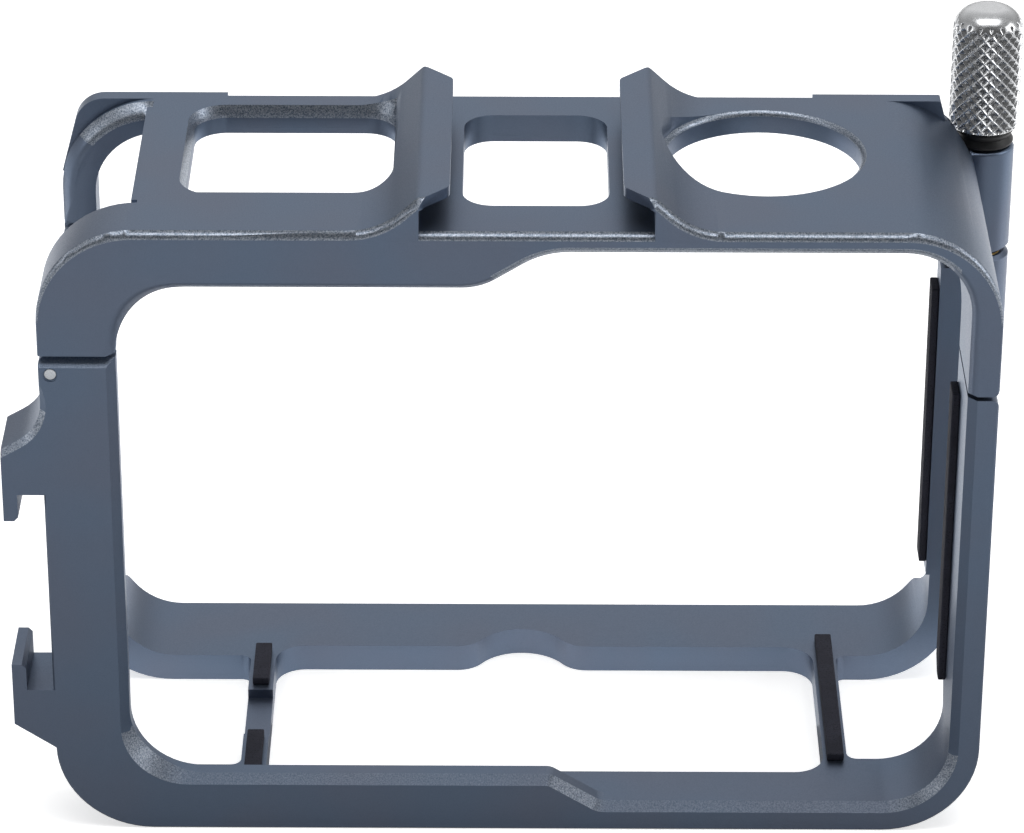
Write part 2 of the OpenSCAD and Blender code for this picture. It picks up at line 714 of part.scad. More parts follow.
module lower_boss() {
  low = part_right_z - boss_low;
  difference() {
    union() {
      translate([screw_x, screw_y, low]) cylinder(r = boss_r, h = boss_low - boss_c);
      translate([screw_x, screw_y, part_right_z - boss_c])
        cylinder(r1 = boss_r, r2 = boss_r - boss_c, h = boss_c);
      translate([screw_x, screw_y, low - boss_cone])
        cylinder(r1 = boss_r - screw_past, r2 = boss_r, h = boss_cone);
      boss_web(low - boss_cone, part_right_z);
    }
    translate([-in_x, -far, 0]) cube([2 * in_x, 2 * far, far]);
  }
}

// Web between a boss and the far right leg
module boss_web(z0, z1) {
  a = boss_r * cos(45);
  translate([0, 0, z0]) linear_extrude(z1 - z0)
    polygon([[in_x, far_y - far_d / 2], [half_w - e, screw_y - a], [screw_x, screw_y],
      [screw_x - a, screw_y + a], [in_x, far_y]]);
}

// ---- upper frame ----

module rail() {
  h = shoe_w / 2;
  foot = cage_h - edge_c;
  difference() {
    union() {
      polygon([[h, foot], [h, slot_z], [h - shoe_lip_w, slot_z], [h - shoe_lip_w, rail_z],
        [crown_at.x, rail_z], flank_top, flank_low, [rail_foot, cage_h], [rail_foot, foot]]);
      intersection() {
        translate(crown_at) circle(shoe_crown);
        translate(crown_at) square(shoe_crown + e);
      }
    }
    translate([rail_foot, cage_h + shoe_foot_r]) circle(shoe_foot_r);
  }
}

// Chamfer round the near end of a rail's flank
module rail_end() {
  c = shoe_c;
  edge_cut([crown_at.x - shoe_crown, rail_z], [crown_at.x + past, rail_z], c, c);
  round_cut(crown_at, shoe_crown, c, 90, 90 - shoe_flank);
  edge_cut(flank_top - past * flank, flank_low, c, c);
  hollow_cut([rail_foot, cage_h + shoe_foot_r], shoe_foot_r + c, shoe_foot_r, c);
}

// Wedges that cut back both ends of a lip, seen from above, with the tip rounded
module lead() {
  h = shoe_w / 2;
  a = atan2(shoe_lead, shoe_lip_w);
  in = shoe_tip * tan((90 - a) / 2);
  tip = [h - shoe_lip_w, shoe_lead];
  for (m = [0, 1]) translate([0, m == 0 ? near_y : near_y + shoe_l, cage_h]) mirror([0, m, 0])
    linear_extrude(far) {
      polygon([[h, -out], [h, 0], [h - shoe_lip_w - out, (shoe_lip_w + out) * tan(a)], [h - shoe_lip_w - out, -out]]);
      difference() {
        polygon([tip - [e, 0], tip + in * [cos(a), -sin(a)], tip + [shoe_tip, in], tip + [-e, in]]);
        translate(tip + [shoe_tip, in]) circle(shoe_tip);
      }
    }
}

module rails() {
  for (m = [0, 1]) translate([shoe_x, 0, 0]) mirror([m, 0, 0]) difference() {
    across(0, shoe_l) rail();
    lead();
    rail_end();
  }
}

module flange() {
  lean = [cos(flange_lean), -sin(flange_lean)];
  low = cage_h - flange_drop;
  c = [-half_w + (flange_r + (flange_drop - flange_r) * sin(flange_lean)) / cos(flange_lean),
    cage_h - flange_r];
  translate(c) circle(flange_r);
  polygon([[-half_w, low], c - flange_r * lean, c, [c.x, cage_h], [-arc_x, cage_h],
    [-arc_x, in_top], [-in_x, low]]);
}

// The flange on the right stops short of the thumb screw
module flange_right() {
  fall = cage_h - mid_z;
  difference() {
    mirror([1, 0]) flange();
    polygon([[half_w - flange_end, cage_h + e], [half_w - flange_end + fall * tan(flange_lean), mid_z],
      [far, mid_z], [far, cage_h + e]]);
  }
}

module tongue(d0, d1, t) {
  mid = (d0 + d1) / 2;
  across(mid - t / 2, mid + t / 2) {
    translate([pin_x, pin_z]) circle(tongue_r);
    translate([pin_x - tongue_r, pin_z])
      square([2 * tongue_r, part_left_z + part_gap - pin_z + e]);
  }
}

module upper_boss() {
  difference() {
    union() {
      translate([screw_x, screw_y, boss_bottom + boss_c])
        cylinder(r = boss_r, h = boss_top - boss_bottom - 2 * boss_c);
      translate([screw_x, screw_y, boss_bottom])
        cylinder(r1 = boss_r - boss_c, r2 = boss_r, h = boss_c);
      translate([screw_x, screw_y, boss_top - boss_c])
        cylinder(r1 = boss_r, r2 = boss_r - boss_c, h = boss_c);
      boss_web(boss_bottom, boss_top);
    }
    translate([-in_x, -far, 0]) cube([2 * in_x, 2 * far, far]);
  }
}

// Chamfers along the edges of the window that wraps the left corner
module corner_rim(d, c, s) {
  z = cage_h - corner_r;
  intersection() {
    union() {
      difference() {
        axis_at(-arc_x, z, s > 0 ? d - e : d - c) cylinder(r = corner_r + out, h = c + e);
        axis_at(-arc_x, z, s > 0 ? d - e : d - c)
          cylinder(r1 = s > 0 ? corner_r - c - e : corner_r, r2 = s > 0 ? corner_r : corner_r - c - e,
            h = c + e);
        translate([-far, -far, z - far]) cube([2 * far, 2 * far, far]);
      }
      translate([0, near_y + d, part_left_z]) linear_extrude(z - part_left_z + e)
        polygon([[-half_w - e, s * (c + e)], [-half_w + c + e, -s * e], [-half_w - e, -s * e]]);
    }
    translate([-far, -far, 0]) cube([far - arc_x, 2 * far, far]);
  }
}

// Chamfers on the left and far edges of the battery window; the far one fades at its right end
module window_rim() {
  x0 = win_a_x[0] + win_a_c;
  x1 = win_a_x[1];
  d1 = cage_d - win_a_far;
  wedge = [[-e, 0], [0, 0], [win_a_c, win_a_deep], [win_a_c, 2 * win_a_deep], [-e, 2 * win_a_deep]];
  translate([0, 0, cage_h - win_a_deep]) {
    along(x0 + win_a_r, x1 - win_a_r) translate([d1, 0]) polygon(wedge);
    across(win_a_from + win_a_r, d1 - win_a_r) translate([x0, 0]) mirror([1, 0]) polygon(wedge);
    intersection() {
      for (x = [x0 + win_a_r, x1 - win_a_r]) translate([x, near_y + d1 - win_a_r, 0])
        cylinder(r1 = win_a_r, r2 = win_a_r + 2 * win_a_c, h = 2 * win_a_deep);
      translate([-far, near_y + win_a_from + win_a_r, -out]) cube([far + x1, far, far]);
    }
    intersection() {
      translate([x0 + win_a_r, near_y + win_a_from + win_a_r, 0])
        cylinder(r1 = win_a_r, r2 = win_a_r + 2 * win_a_c, h = 2 * win_a_deep);
      translate([-far, near_y + win_a_from, -out]) cube(far);
    }
  }
}

module upper_cuts() {
  translate([-far, near_y + leg_d, -out]) cube([far - half_w + corner_win_w, far_from - leg_d, far]);
  corner_rim(leg_d, rim_near_c, -1);
  corner_rim(far_from, rim_far_c, 1);
  along(in_x - in_r, far) right_top();
  window(win_a_x[0] + win_a_c, win_a_x[1], win_a_from, cage_d - win_a_far, win_a_r * [1, 1, 1, 1], mid_z);
  window(win_b_x[0], win_b_x[1], win_b_from, cage_d - win_b_far, win_b_r * [1, 1, 1, 1], mid_z);
  window_rim();
  translate([hole_x, hole_y, mid_z]) cylinder(r = hole_r, h = far);
  translate([hole_x, hole_y, cage_h - hole_c]) cylinder(r1 = hole_r, r2 = hole_r + hole_c, h = hole_c);
  translate([hole_x, hole_y, cage_h - e]) cylinder(r = hole_r + hole_c, h = far);
  translate([-relief_x, far_y - relief_d, mid_z]) cube([2 * relief_x, far, far]);
  across(-out, far_from) translate([half_w, boss_bottom]) mirror([1, 0]) fillet(part_r);
  translate([screw_x, screw_y, boss_top]) cylinder(r = knob_r + knob_gap, h = far);
  axis_at(pin_x, pin_z, -out) cylinder(r = pin_r + pin_run, h = cage_d + 2 * out);
  translate([screw_x, screw_y, 0]) cylinder(r = stud_r + stud_run, h = far);
  translate([screw_x, screw_y, 0]) cylinder(r = clip_r + clip_gap, h = boss_bottom + clip_pocket);
}

// Outline, in depth and height, of the right side window of the upper frame
module right_top() {
  rounded(bar_d, far_from, 0, cage_h - side_win_drop, side_win_r);
}

module upper_frame() {
  color("lightslategray") difference() {
    union() {
      intersection() {
        union() {
          shell();
          difference() {
            across(cage_d - flange_d, cage_d) {
              flange();
              flange_right();
            }
            across(0, cage_d + e) cavity();
          }
        }
        union() {
          translate([-far, -far, part_left_z + part_gap]) cube([far, 2 * far, far]);
          translate([-e, -far, boss_bottom]) cube([far, 2 * far, far]);
        }
      }
      rails();
      tongue(0, leg_d, tongue_near);
      tongue(far_from, cage_d, tongue_far);
      upper_boss();
    }
    upper_cuts();
  }
}

// ---- hinge pins ----

module hinge_pin_near() {
  color("silver") axis_at(pin_x, pin_z, pin_recess) cylinder(r = pin_r, h = leg_d - 2 * pin_recess);
}

module hinge_pin_far() {
  color("silver") axis_at(pin_x, pin_z, far_from) cylinder(r = pin_r, h = far_d);
}

// ---- thumb screw ----

module thumb_knob() {
  color("gainsboro") translate([screw_x, screw_y, knob_z]) rotate_extrude() difference() {
    union() {
      square([knob_r, knob_h - knob_round]);
      square([knob_r - knob_round, knob_h]);
      translate([knob_r - knob_round, knob_h - knob_round]) circle(knob_round);
    }
    translate([-far, -e]) square([far, 2 * far]);
    square([stud_r, knob_h / 2]);
  }
}

module screw_stud() {
  top = knob_z + knob_h / 2;
  low = part_right_z - stud_reach;
  color("silver") translate([screw_x, screw_y, low]) cylinder(r = stud_r, h = top - low);
}

module screw_seal_ring() {
  color("black") translate([screw_x, screw_y, ring_z]) difference() {
    cylinder(r = knob_r - ring_in, h = ring_t);
    translate([0, 0, -e]) cylinder(r = stud_r, h = ring_t + 2 * e);
  }
}

module screw_clip() {
  color("dimgray") translate([screw_x, screw_y, boss_bottom + (clip_pocket - clip_t) / 2]) difference() {
    cylinder(r = clip_r, h = clip_t);
    translate([0, 0, -e]) cylinder(r = stud_r, h = clip_t + 2 * e);
  }
}

module boss_insert() {
  color("gold") translate([screw_x, screw_y, part_right_z - insert_l]) difference() {
    cylinder(r = insert_r, h = insert_l);
    translate([0, 0, -e]) cylinder(r = insert_in, h = insert_l + 2 * e);
  }
}

// ---- foam pads ----

module pad(x, d, w, l, z) {
  color("darkslategray") translate([x, near_y + d, z]) cube([w, l, pad_t]);
}

module pad_bar_left_far() {
  pad(pad_left_x, channel_from + channel_l + pad_far_gap, pad_w, pad_far_l, floor_wall);
}

module pad_bar_left_near() {
  pad(pad_left_x, channel_from - pad_near_gap - pad_near_l, pad_w, pad_near_l, floor_wall);
}

module pad_bar_right() {
  pad(pad_right_x, cage_d - pad_right_far - pad_right_l, pad_w, pad_right_l, floor_wall);
}

module pad_wall_far() {
  color("darkslategray") translate([in_x - land_t - pad_wall_t,
    near_y + far_from + (far_d - pad_wall_w) / 2, pad_wall_far_z])
    cube([pad_wall_t, pad_wall_w, part_right_z - pad_wall_far_drop - pad_wall_far_z]);
}

module pad_wall_near() {
  d = bar_d - (far_d - pad_wall_w) / 2;
  top = part_right_z - pad_wall_near_drop;
  color("darkslategray") along(in_x - pad_wall_t, in_x)
    polygon([[d - pad_wall_w, pad_wall_near_z], [d - pad_wall_bevel, pad_wall_near_z],
      [d, pad_wall_near_z + pad_wall_bevel], [d, top], [d - pad_wall_w, top]]);
}

module pad_top_left() {
  pad((win_a_x[1] + win_b_x[0] - pad_w) / 2, pad_top_in, pad_w, cage_d - 2 * pad_top_in, in_top - pad_t);
}

module pad_top_right() {
  pad(win_b_x[1] + (hole_left - rise - win_b_x[1] - pad_w) / 2, pad_top_in, pad_w,
    cage_d - 2 * pad_top_in, in_top - pad_t);
}

lower_frame();
upper_frame();
hinge_pin_near();
hinge_pin_far();
thumb_knob();
screw_stud();
screw_seal_ring();
screw_clip();
boss_insert();
pad_bar_left_far();
pad_bar_left_near();
pad_bar_right();
pad_wall_far();
pad_wall_near();
pad_top_left();
pad_top_right();
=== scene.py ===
"""Looks of a hinged camera cage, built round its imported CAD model.

The two frames are bead-blasted, anodised aluminium with fine broken edges. A knurled steel thumb screw
closes them, two steel pins hinge them, and foam pads line them.
"""

import json
import logging
import math
from dataclasses import dataclass
from enum import Enum

import bmesh
import bpy
from mathutils import Euler, Matrix, Vector

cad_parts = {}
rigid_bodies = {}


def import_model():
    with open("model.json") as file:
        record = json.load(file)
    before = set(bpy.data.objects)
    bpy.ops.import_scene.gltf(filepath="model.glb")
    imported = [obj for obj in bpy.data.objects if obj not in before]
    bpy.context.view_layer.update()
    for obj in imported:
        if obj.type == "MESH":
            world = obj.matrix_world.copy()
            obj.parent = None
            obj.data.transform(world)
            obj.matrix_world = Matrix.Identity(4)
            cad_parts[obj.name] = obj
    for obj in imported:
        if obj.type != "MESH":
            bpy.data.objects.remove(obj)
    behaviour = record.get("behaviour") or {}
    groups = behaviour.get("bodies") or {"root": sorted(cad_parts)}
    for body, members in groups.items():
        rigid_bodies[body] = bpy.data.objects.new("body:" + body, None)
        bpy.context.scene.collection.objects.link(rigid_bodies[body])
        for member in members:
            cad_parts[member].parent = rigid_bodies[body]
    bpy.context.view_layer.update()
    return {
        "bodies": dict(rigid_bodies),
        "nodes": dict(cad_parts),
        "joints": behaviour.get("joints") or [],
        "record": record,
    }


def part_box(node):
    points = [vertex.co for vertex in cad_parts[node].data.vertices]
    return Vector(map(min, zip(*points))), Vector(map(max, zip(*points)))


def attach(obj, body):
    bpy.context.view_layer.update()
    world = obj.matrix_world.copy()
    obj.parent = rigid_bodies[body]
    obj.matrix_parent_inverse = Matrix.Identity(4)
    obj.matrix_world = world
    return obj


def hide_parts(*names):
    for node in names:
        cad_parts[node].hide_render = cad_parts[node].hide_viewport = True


LOG = logging.getLogger("camera_cage")
MM = 0.001

Colour = tuple[float, float, float, float]
# Both ends of a range
Span = tuple[float, float]
# A place in the part's frame, in metres
Point = tuple[float, float, float]
# Radius and height of each point of a turned outline, in metres
Profile = list[tuple[float, float]]


class Body(Enum):
    """The rigid bodies of the cage."""

    LOWER = "lower"
    UPPER = "upper"
    SCREW = "screw"


class Slot(Enum):
    """The record's material slots."""

    FRAME = "frame_aluminium"
    STEEL = "steel"
    KNOB = "knob_steel"
    RUBBER = "black_rubber"
    CLIP = "clip_steel"
    BRASS = "brass"
    FOAM = "pad_foam"


# ---- colours and nodes ----


def linear(code: str) -> Colour:
    """Turns an sRGB hex colour to linear light.

    Args:
        code: Six hex digits after a hash sign.

    Returns:
        Red, green, blue and an alpha of 1.
    """
    parts = [int(code[i : i + 2], 16) / 255 for i in (1, 3, 5)]
    red, green, blue = (p / 12.92 if p <= 0.04045 else ((p + 0.055) / 1.055) ** 2.4 for p in parts)
    return red, green, blue, 1.0


def add_node(
    tree: bpy.types.NodeTree, kind: str, inputs: dict | tuple = (), **settings: str
) -> bpy.types.Node:
    """Adds a node, with its settings and its inputs.

    Args:
        tree: The node tree that takes the node.
        kind: Blender's name of the node type.
        inputs: Values or output sockets, in the inputs' order, or by the input's name or number.
        **settings: Attributes of the node.

    Returns:
        The new node.
    """
    made = tree.nodes.new(kind)
    for name, value in settings.items():
        setattr(made, name, value)
    for name, value in inputs.items() if isinstance(inputs, dict) else enumerate(inputs):
        if isinstance(value, bpy.types.NodeSocket):
            tree.links.new(value, made.inputs[name])
        else:
            made.inputs[name].default_value = value
    return made


def new_material(name: str) -> tuple[bpy.types.Material, bpy.types.NodeTree, bpy.types.Node]:
    """Starts a material.

    Args:
        name: The finish it is named for.

    Returns:
        The material, its empty node tree with a principled shader in it, and that shader.
    """
    material = bpy.data.materials.new(name)
    material.use_nodes = True
    tree = material.node_tree
    tree.nodes.clear()
    shader = add_node(tree, "ShaderNodeBsdfPrincipled")
    add_node(tree, "ShaderNodeOutputMaterial", {"Surface": shader.outputs["BSDF"]})
    return material, tree, shader


def grains(
    tree: bpy.types.NodeTree, size_mm: float, detail: float = 2.0, shift: float = 0.0
) -> bpy.types.NodeSocket:
    """Adds a pattern of soft grains of a real size, laid on object coordinates.

    Args:
        tree: The material's node tree.
        size_mm: Size of one grain in millimetres.
        detail: Octaves of the pattern.
        shift: Shift of the pattern, so that two patterns don't match.

    Returns:
        The pattern's level, which is mostly between 0.3 and 0.7.
    """
    place = add_node(tree, "ShaderNodeTexCoord").outputs["Object"]
    moved = add_node(tree, "ShaderNodeMapping", (place, (shift, shift, shift))).outputs[0]
    sizes = {"Vector": moved, "Scale": 1 / (size_mm * MM), "Detail": detail, "Roughness": 0.6}
    return add_node(tree, "ShaderNodeTexNoise", sizes).outputs["Fac"]


# ---- finishes ----
# A field that ends in _span is the part of a pattern's level over which its effect goes from none to all


@dataclass(frozen=True)
class AnodisedAluminium:
    """Aluminium, milled, blasted with fine glass beads and anodised slate grey.

    The blasting gives an even, fine grain that spreads every reflection. The narrow chamfers, cut after
    blasting and then anodised, get painted glints: single facets are painted bright, the rest painted dark.
    """

    name: str = "bead_blasted_anodised_aluminium"
    tone: str = "#657387"
    tone_warm: str = "#687284"
    # Painted shade and painted glints: the chamfers' facets are painted darker or brighter at random, in
    # place of light that they catch or miss
    facet_painted_shade: str = "#5A6676"
    facet_painted_glint: str = "#C3CAD5"
    # Least and most roughness, which follow the grain
    roughness: Span = (0.37, 0.5)
    # Real beads leave pits of about 0.05 mm, drawn at 0.11 mm so that they show
    grain_mm: float = 0.11
    grain_span: Span = (0.3, 0.7)
    # Real cutter facets are about 0.03 mm long, drawn at 0.12 mm so that they show
    facet_mm: float = 0.12
    facet_span: Span = (0.32, 0.78)
    cloud_mm: float = 9.0
    cloud_span: Span = (0.35, 0.65)
    relief_mm: float = 0.02
    # Strength of the relief on blasted faces and on chamfers
    relief: Span = (0.10, 0.35)

    def build(self) -> bpy.types.Material:
        """Builds the material, which reads the chamfers, and the painted glint on each, from the mesh's own
        attribute.

        Returns:
            The material.
        """
        material, tree, shader = new_material(self.name)
        chamfer = add_node(tree, "ShaderNodeAttribute", attribute_name="chamfer").outputs["Fac"]
        cloudy = grains(tree, self.cloud_mm, 1.0)
        cloudy = add_node(tree, "ShaderNodeMapRange", (cloudy, *self.cloud_span)).outputs[0]
        grain = grains(tree, self.grain_mm, 1.0, 3.1)
        facets = grains(tree, self.facet_mm, 2.0, 7.7)
        facets = add_node(tree, "ShaderNodeMapRange", (facets, *self.facet_span)).outputs[0]
        tones = {0: cloudy, 6: linear(self.tone), 7: linear(self.tone_warm)}
        blasted = add_node(tree, "ShaderNodeMix", tones, data_type="RGBA").outputs[2]
        # Painted glints on the chamfers: a speckle of bright and dark facets mixed into the colour
        tones = {0: facets, 6: linear(self.facet_painted_shade), 7: linear(self.facet_painted_glint)}
        cut = add_node(tree, "ShaderNodeMix", tones, data_type="RGBA").outputs[2]
        colour = add_node(tree, "ShaderNodeMix", {0: chamfer, 6: blasted, 7: cut}, data_type="RGBA")
        tree.links.new(colour.outputs[2], shader.inputs["Base Color"])
        shader.inputs["Metallic"].default_value = 1.0
        rough = add_node(tree, "ShaderNodeMapRange", (grain, *self.grain_span, *self.roughness))
        tree.links.new(rough.outputs[0], shader.inputs["Roughness"])
        height = add_node(tree, "ShaderNodeMath", (grain, facets), operation="ADD").outputs[0]
        strength = add_node(tree, "ShaderNodeMapRange", (chamfer, 0.0, 1.0, *self.relief)).outputs[0]
        relief = {"Height": height, "Distance": self.relief_mm * MM, "Strength": strength}
        bump = add_node(tree, "ShaderNodeBump", relief)
        tree.links.new(bump.outputs[0], shader.inputs["Normal"])
        return material


@dataclass(frozen=True)
class TurnedMetal:
    """Steel or brass, turned on a lathe: bright, with fine tool marks round the axis."""

    name: str = "turned_stainless_steel"
    tone: str = "#C6C8CB"
    shade: str = "#A9ACB0"
    # Painted shade in the bottoms of grooves
    hollow: str = "#8B8E92"
    roughness: float = 0.28
    # What the tool marks take from the roughness and add to it
    roughness_range: Span = (-0.06, 0.08)
    # Real tool marks are about 0.03 mm apart, drawn at 0.08 mm so that they show
    mark_mm: float = 0.08
    mark_span: Span = (0.3, 0.7)
    # Scale of the marks across the axis: below 1, so that they run round the piece
    mark_stretch: float = 0.2
    mark_depth_mm: float = 0.004
    mark_strength: float = 0.3
    speck_mm: float = 0.12
    speck_span: Span = (0.3, 0.8)
    # Part of a groove's depth over which the painted shade comes in
    groove_shade_span: Span = (0.03, 0.22)

    def build(self) -> bpy.types.Material:
        """Builds the material, with tool marks as bands in height and painted shade in the grooves.

        Returns:
            The material.
        """
        material, tree, shader = new_material(self.name)
        place = add_node(tree, "ShaderNodeTexCoord").outputs["Object"]
        stretch = {"Vector": place, "Scale": (self.mark_stretch, self.mark_stretch, 1.0)}
        place = add_node(tree, "ShaderNodeMapping", stretch).outputs[0]
        sizes = {"Vector": place, "Scale": 1 / (self.mark_mm * MM), "Detail": 2.0}
        marks = add_node(tree, "ShaderNodeTexNoise", sizes).outputs["Fac"]
        specks = grains(tree, self.speck_mm)
        specks = add_node(tree, "ShaderNodeMapRange", (specks, *self.speck_span)).outputs[0]
        tones = {0: specks, 6: linear(self.tone), 7: linear(self.shade)}
        worn = add_node(tree, "ShaderNodeMix", tones, data_type="RGBA").outputs[2]
        # Painted shade: the colour turns darker the deeper a point lies in a groove
        painted_groove_shade = add_node(tree, "ShaderNodeAttribute", attribute_name="hollow").outputs["Fac"]
        painted_groove_shade = add_node(tree, "ShaderNodeMapRange", (painted_groove_shade, *self.groove_shade_span)).outputs[0]
        tones = {0: painted_groove_shade, 6: worn, 7: linear(self.hollow)}
        colour = add_node(tree, "ShaderNodeMix", tones, data_type="RGBA")
        tree.links.new(colour.outputs[2], shader.inputs["Base Color"])
        shader.inputs["Metallic"].default_value = 1.0
        roughness = (self.roughness + change for change in self.roughness_range)
        rough = add_node(tree, "ShaderNodeMapRange", (marks, *self.mark_span, *roughness))
        tree.links.new(rough.outputs[0], shader.inputs["Roughness"])
        relief = {"Height": marks, "Distance": self.mark_depth_mm * MM, "Strength": self.mark_strength}
        bump = add_node(tree, "ShaderNodeBump", relief)
        tree.links.new(bump.outputs[0], shader.inputs["Normal"])
        return material


@dataclass(frozen=True)
class Rubber:
    """Black moulded nitrile rubber: matte, with a faint bloom."""

    name: str = "moulded_nitrile_rubber"
    tone: str = "#101113"
    bloom: str = "#17181A"
    roughness: float = 0.5
    specular: float = 0.4
    bloom_mm: float = 0.9
    bloom_span: Span = (0.45, 0.7)
    grain_mm: float = 0.12
    grain_depth_mm: float = 0.01
    grain_strength: float = 0.3

    def build(self) -> bpy.types.Material:
        """Builds the material.

        Returns:
            The material.
        """
        material, tree, shader = new_material(self.name)
        bloom = grains(tree, self.bloom_mm)
        bloom = add_node(tree, "ShaderNodeMapRange", (bloom, *self.bloom_span)).outputs[0]
        tones = {0: bloom, 6: linear(self.tone), 7: linear(self.bloom)}
        colour = add_node(tree, "ShaderNodeMix", tones, data_type="RGBA")
        tree.links.new(colour.outputs[2], shader.inputs["Base Color"])
        shader.inputs["Roughness"].default_value = self.roughness
        shader.inputs["Specular IOR Level"].default_value = self.specular
        grain = grains(tree, self.grain_mm)
        relief = {"Height": grain, "Distance": self.grain_depth_mm * MM, "Strength": self.grain_strength}
        bump = add_node(tree, "ShaderNodeBump", relief)
        tree.links.new(bump.outputs[0], shader.inputs["Normal"])
        return material


@dataclass(frozen=True)
class Foam:
    """Closed-cell EVA foam, die-cut and glued on: near black, with tiny open cells on its cut sides."""

    name: str = "die_cut_eva_foam"
    tone: str = "#343540"
    cell: str = "#1B1C22"
    roughness: float = 0.85
    specular: float = 0.25
    # Real cells are about 0.1 mm across, drawn at 0.16 mm so that they show
    cell_mm: float = 0.16
    cell_span: Span = (0.1, 0.45)
    cell_depth_mm: float = 0.03
    cell_strength: float = 0.5
    cloud_mm: float = 2.5
    cloud_span: Span = (0.35, 0.65)
    # How far towards the cells' tone the clouds go
    cloud_share: float = 0.35

    def build(self) -> bpy.types.Material:
        """Builds the material.

        Returns:
            The material.
        """
        material, tree, shader = new_material(self.name)
        place = add_node(tree, "ShaderNodeTexCoord").outputs["Object"]
        sizes = {"Vector": place, "Scale": 1 / (self.cell_mm * MM)}
        cells = add_node(tree, "ShaderNodeTexVoronoi", sizes, feature="F1").outputs["Distance"]
        pores = add_node(tree, "ShaderNodeMapRange", (cells, *self.cell_span, 1.0, 0.0)).outputs[0]
        cloudy = (grains(tree, self.cloud_mm), *self.cloud_span, 0.0, self.cloud_share)
        cloudy = add_node(tree, "ShaderNodeMapRange", cloudy).outputs[0]
        dark = add_node(tree, "ShaderNodeMath", (pores, cloudy), operation="MAXIMUM").outputs[0]
        tones = {0: dark, 6: linear(self.tone), 7: linear(self.cell)}
        colour = add_node(tree, "ShaderNodeMix", tones, data_type="RGBA")
        tree.links.new(colour.outputs[2], shader.inputs["Base Color"])
        shader.inputs["Roughness"].default_value = self.roughness
        shader.inputs["Specular IOR Level"].default_value = self.specular
        relief = {"Height": cells, "Distance": self.cell_depth_mm * MM, "Strength": self.cell_strength}
        bump = add_node(tree, "ShaderNodeBump", relief)
        tree.links.new(bump.outputs[0], shader.inputs["Normal"])
        return material


# ---- mesh helpers ----


def place_mesh(name: str, work: bmesh.types.BMesh, smooth_deg: float = 30.0) -> bpy.types.Object:
    """Turns a mesh into an object at the origin, smooth but for its sharp edges.

    Args:
        name: The piece's name.
        work: The mesh, in metres in the part's frame; it is freed.
        smooth_deg: Edges that bend more than this stay sharp.

    Returns:
        The linked object.
    """
    mesh = bpy.data.meshes.new(name)
    work.to_mesh(mesh)
    work.free()
    # Normals of the CAD mesh no longer fit once faces are merged
    if "custom_normal" in mesh.attributes:
        mesh.attributes.remove(mesh.attributes["custom_normal"])
    smooth(mesh, smooth_deg)
    made = bpy.data.objects.new(name, mesh)
    bpy.context.collection.objects.link(made)
    return made


def smooth(mesh: bpy.types.Mesh, smooth_deg: float) -> None:
    """Shades a mesh smooth but for the edges that bend more than smooth_deg."""
    mesh.shade_smooth()
    mesh.set_sharp_from_angle(angle=math.radians(smooth_deg))


def lathe(profile: Profile, foot: Vector, steps: int, closed: bool) -> bmesh.types.BMesh:
    """Turns a profile about an upright axis.

    Args:
        profile: Radius and height of each point, in metres; it runs so that the material is on its left.
        foot: The axis's foot.
        steps: Number of steps round.
        closed: True for a ring, whose last point joins its first; else both ends lie on the axis.

    Returns:
        The closed mesh.
    """
    work = bmesh.new()
    turns = [2 * math.pi * k / steps for k in range(steps)]
    rings = []
    for radius, height in profile:
        if radius == 0:
            rings.append([work.verts.new(foot + Vector((0, 0, height)))] * steps)
            continue
        around = [Vector((radius * math.cos(a), radius * math.sin(a), height)) for a in turns]
        rings.append([work.verts.new(foot + point) for point in around])
    pairs = list(zip(rings, rings[1:])) + ([(rings[-1], rings[0])] if closed else [])
    for low, high in pairs:
        for k in range(steps):
            n = (k + 1) % steps
            corners = list(dict.fromkeys((low[k], low[n], high[n], high[k])))
            if len(corners) > 2:
                work.faces.new(corners)
    bmesh.ops.recalc_face_normals(work, faces=work.faces)
    return work


def arc(cx: float, cy: float, r: float, a0: float, a1: float, steps: int) -> Profile:
    """Points on an arc of a profile.

    Args:
        cx: Radius of the arc's centre.
        cy: Height of the arc's centre.
        r: The arc's own radius.
        a0: Start angle in degrees.
        a1: End angle in degrees.
        steps: Number of steps.

    Returns:
        The points in order.
    """
    turns = [math.radians(a0 + (a1 - a0) * k / steps) for k in range(steps + 1)]
    return [(cx + r * math.cos(a), cy + r * math.sin(a)) for a in turns]


def run(a: tuple[float, float], b: tuple[float, float], steps: int) -> Profile:
    """Points on a straight stretch of a profile, both ends left out."""
    return [(a[0] + (b[0] - a[0]) * k / steps, a[1] + (b[1] - a[1]) * k / steps) for k in range(1, steps)]


def turned_size(node: str) -> tuple[Vector, float, float]:
    """Reads the size of an upright turned CAD node from its box.

    Args:
        node: The CAD node.

    Returns:
        The foot of its axis, its radius and its height.
    """
    low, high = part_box(node)
    foot = Vector(((low.x + high.x) / 2, (low.y + high.y) / 2, low.z))
    return foot, (high.x - low.x) / 2, high.z - low.z


def settle(piece: bpy.types.Object) -> None:
    """Applies a piece's modifiers to its mesh.

    Args:
        piece: The piece.
    """
    bpy.context.view_layer.update()
    graph = bpy.context.evaluated_depsgraph_get()
    mesh = bpy.data.meshes.new_from_object(piece.evaluated_get(graph))
    piece.modifiers.clear()
    piece.data = mesh


def finish_piece(
    piece: bpy.types.Object, body: Body, material: bpy.types.Material, node: str
) -> None:
    """Dresses a piece, lets it ride and hides the CAD node that it stands in for.

    Args:
        piece: The piece.
        body: The body it moves with.
        material: Its finish.
        node: The CAD node that it replaces.
    """
    piece.data.materials.clear()
    piece.data.materials.append(material)
    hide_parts(node)
    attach(piece, body.value)
    LOG.info("%s rides on %s: %d faces", piece.name, body.value, len(piece.data.polygons))


# ---- grooves ----


class Groove(Enum):
    """What a grooving tree cuts into a turned piece."""

    KNURL = "knurl"
    THREAD = "thread"


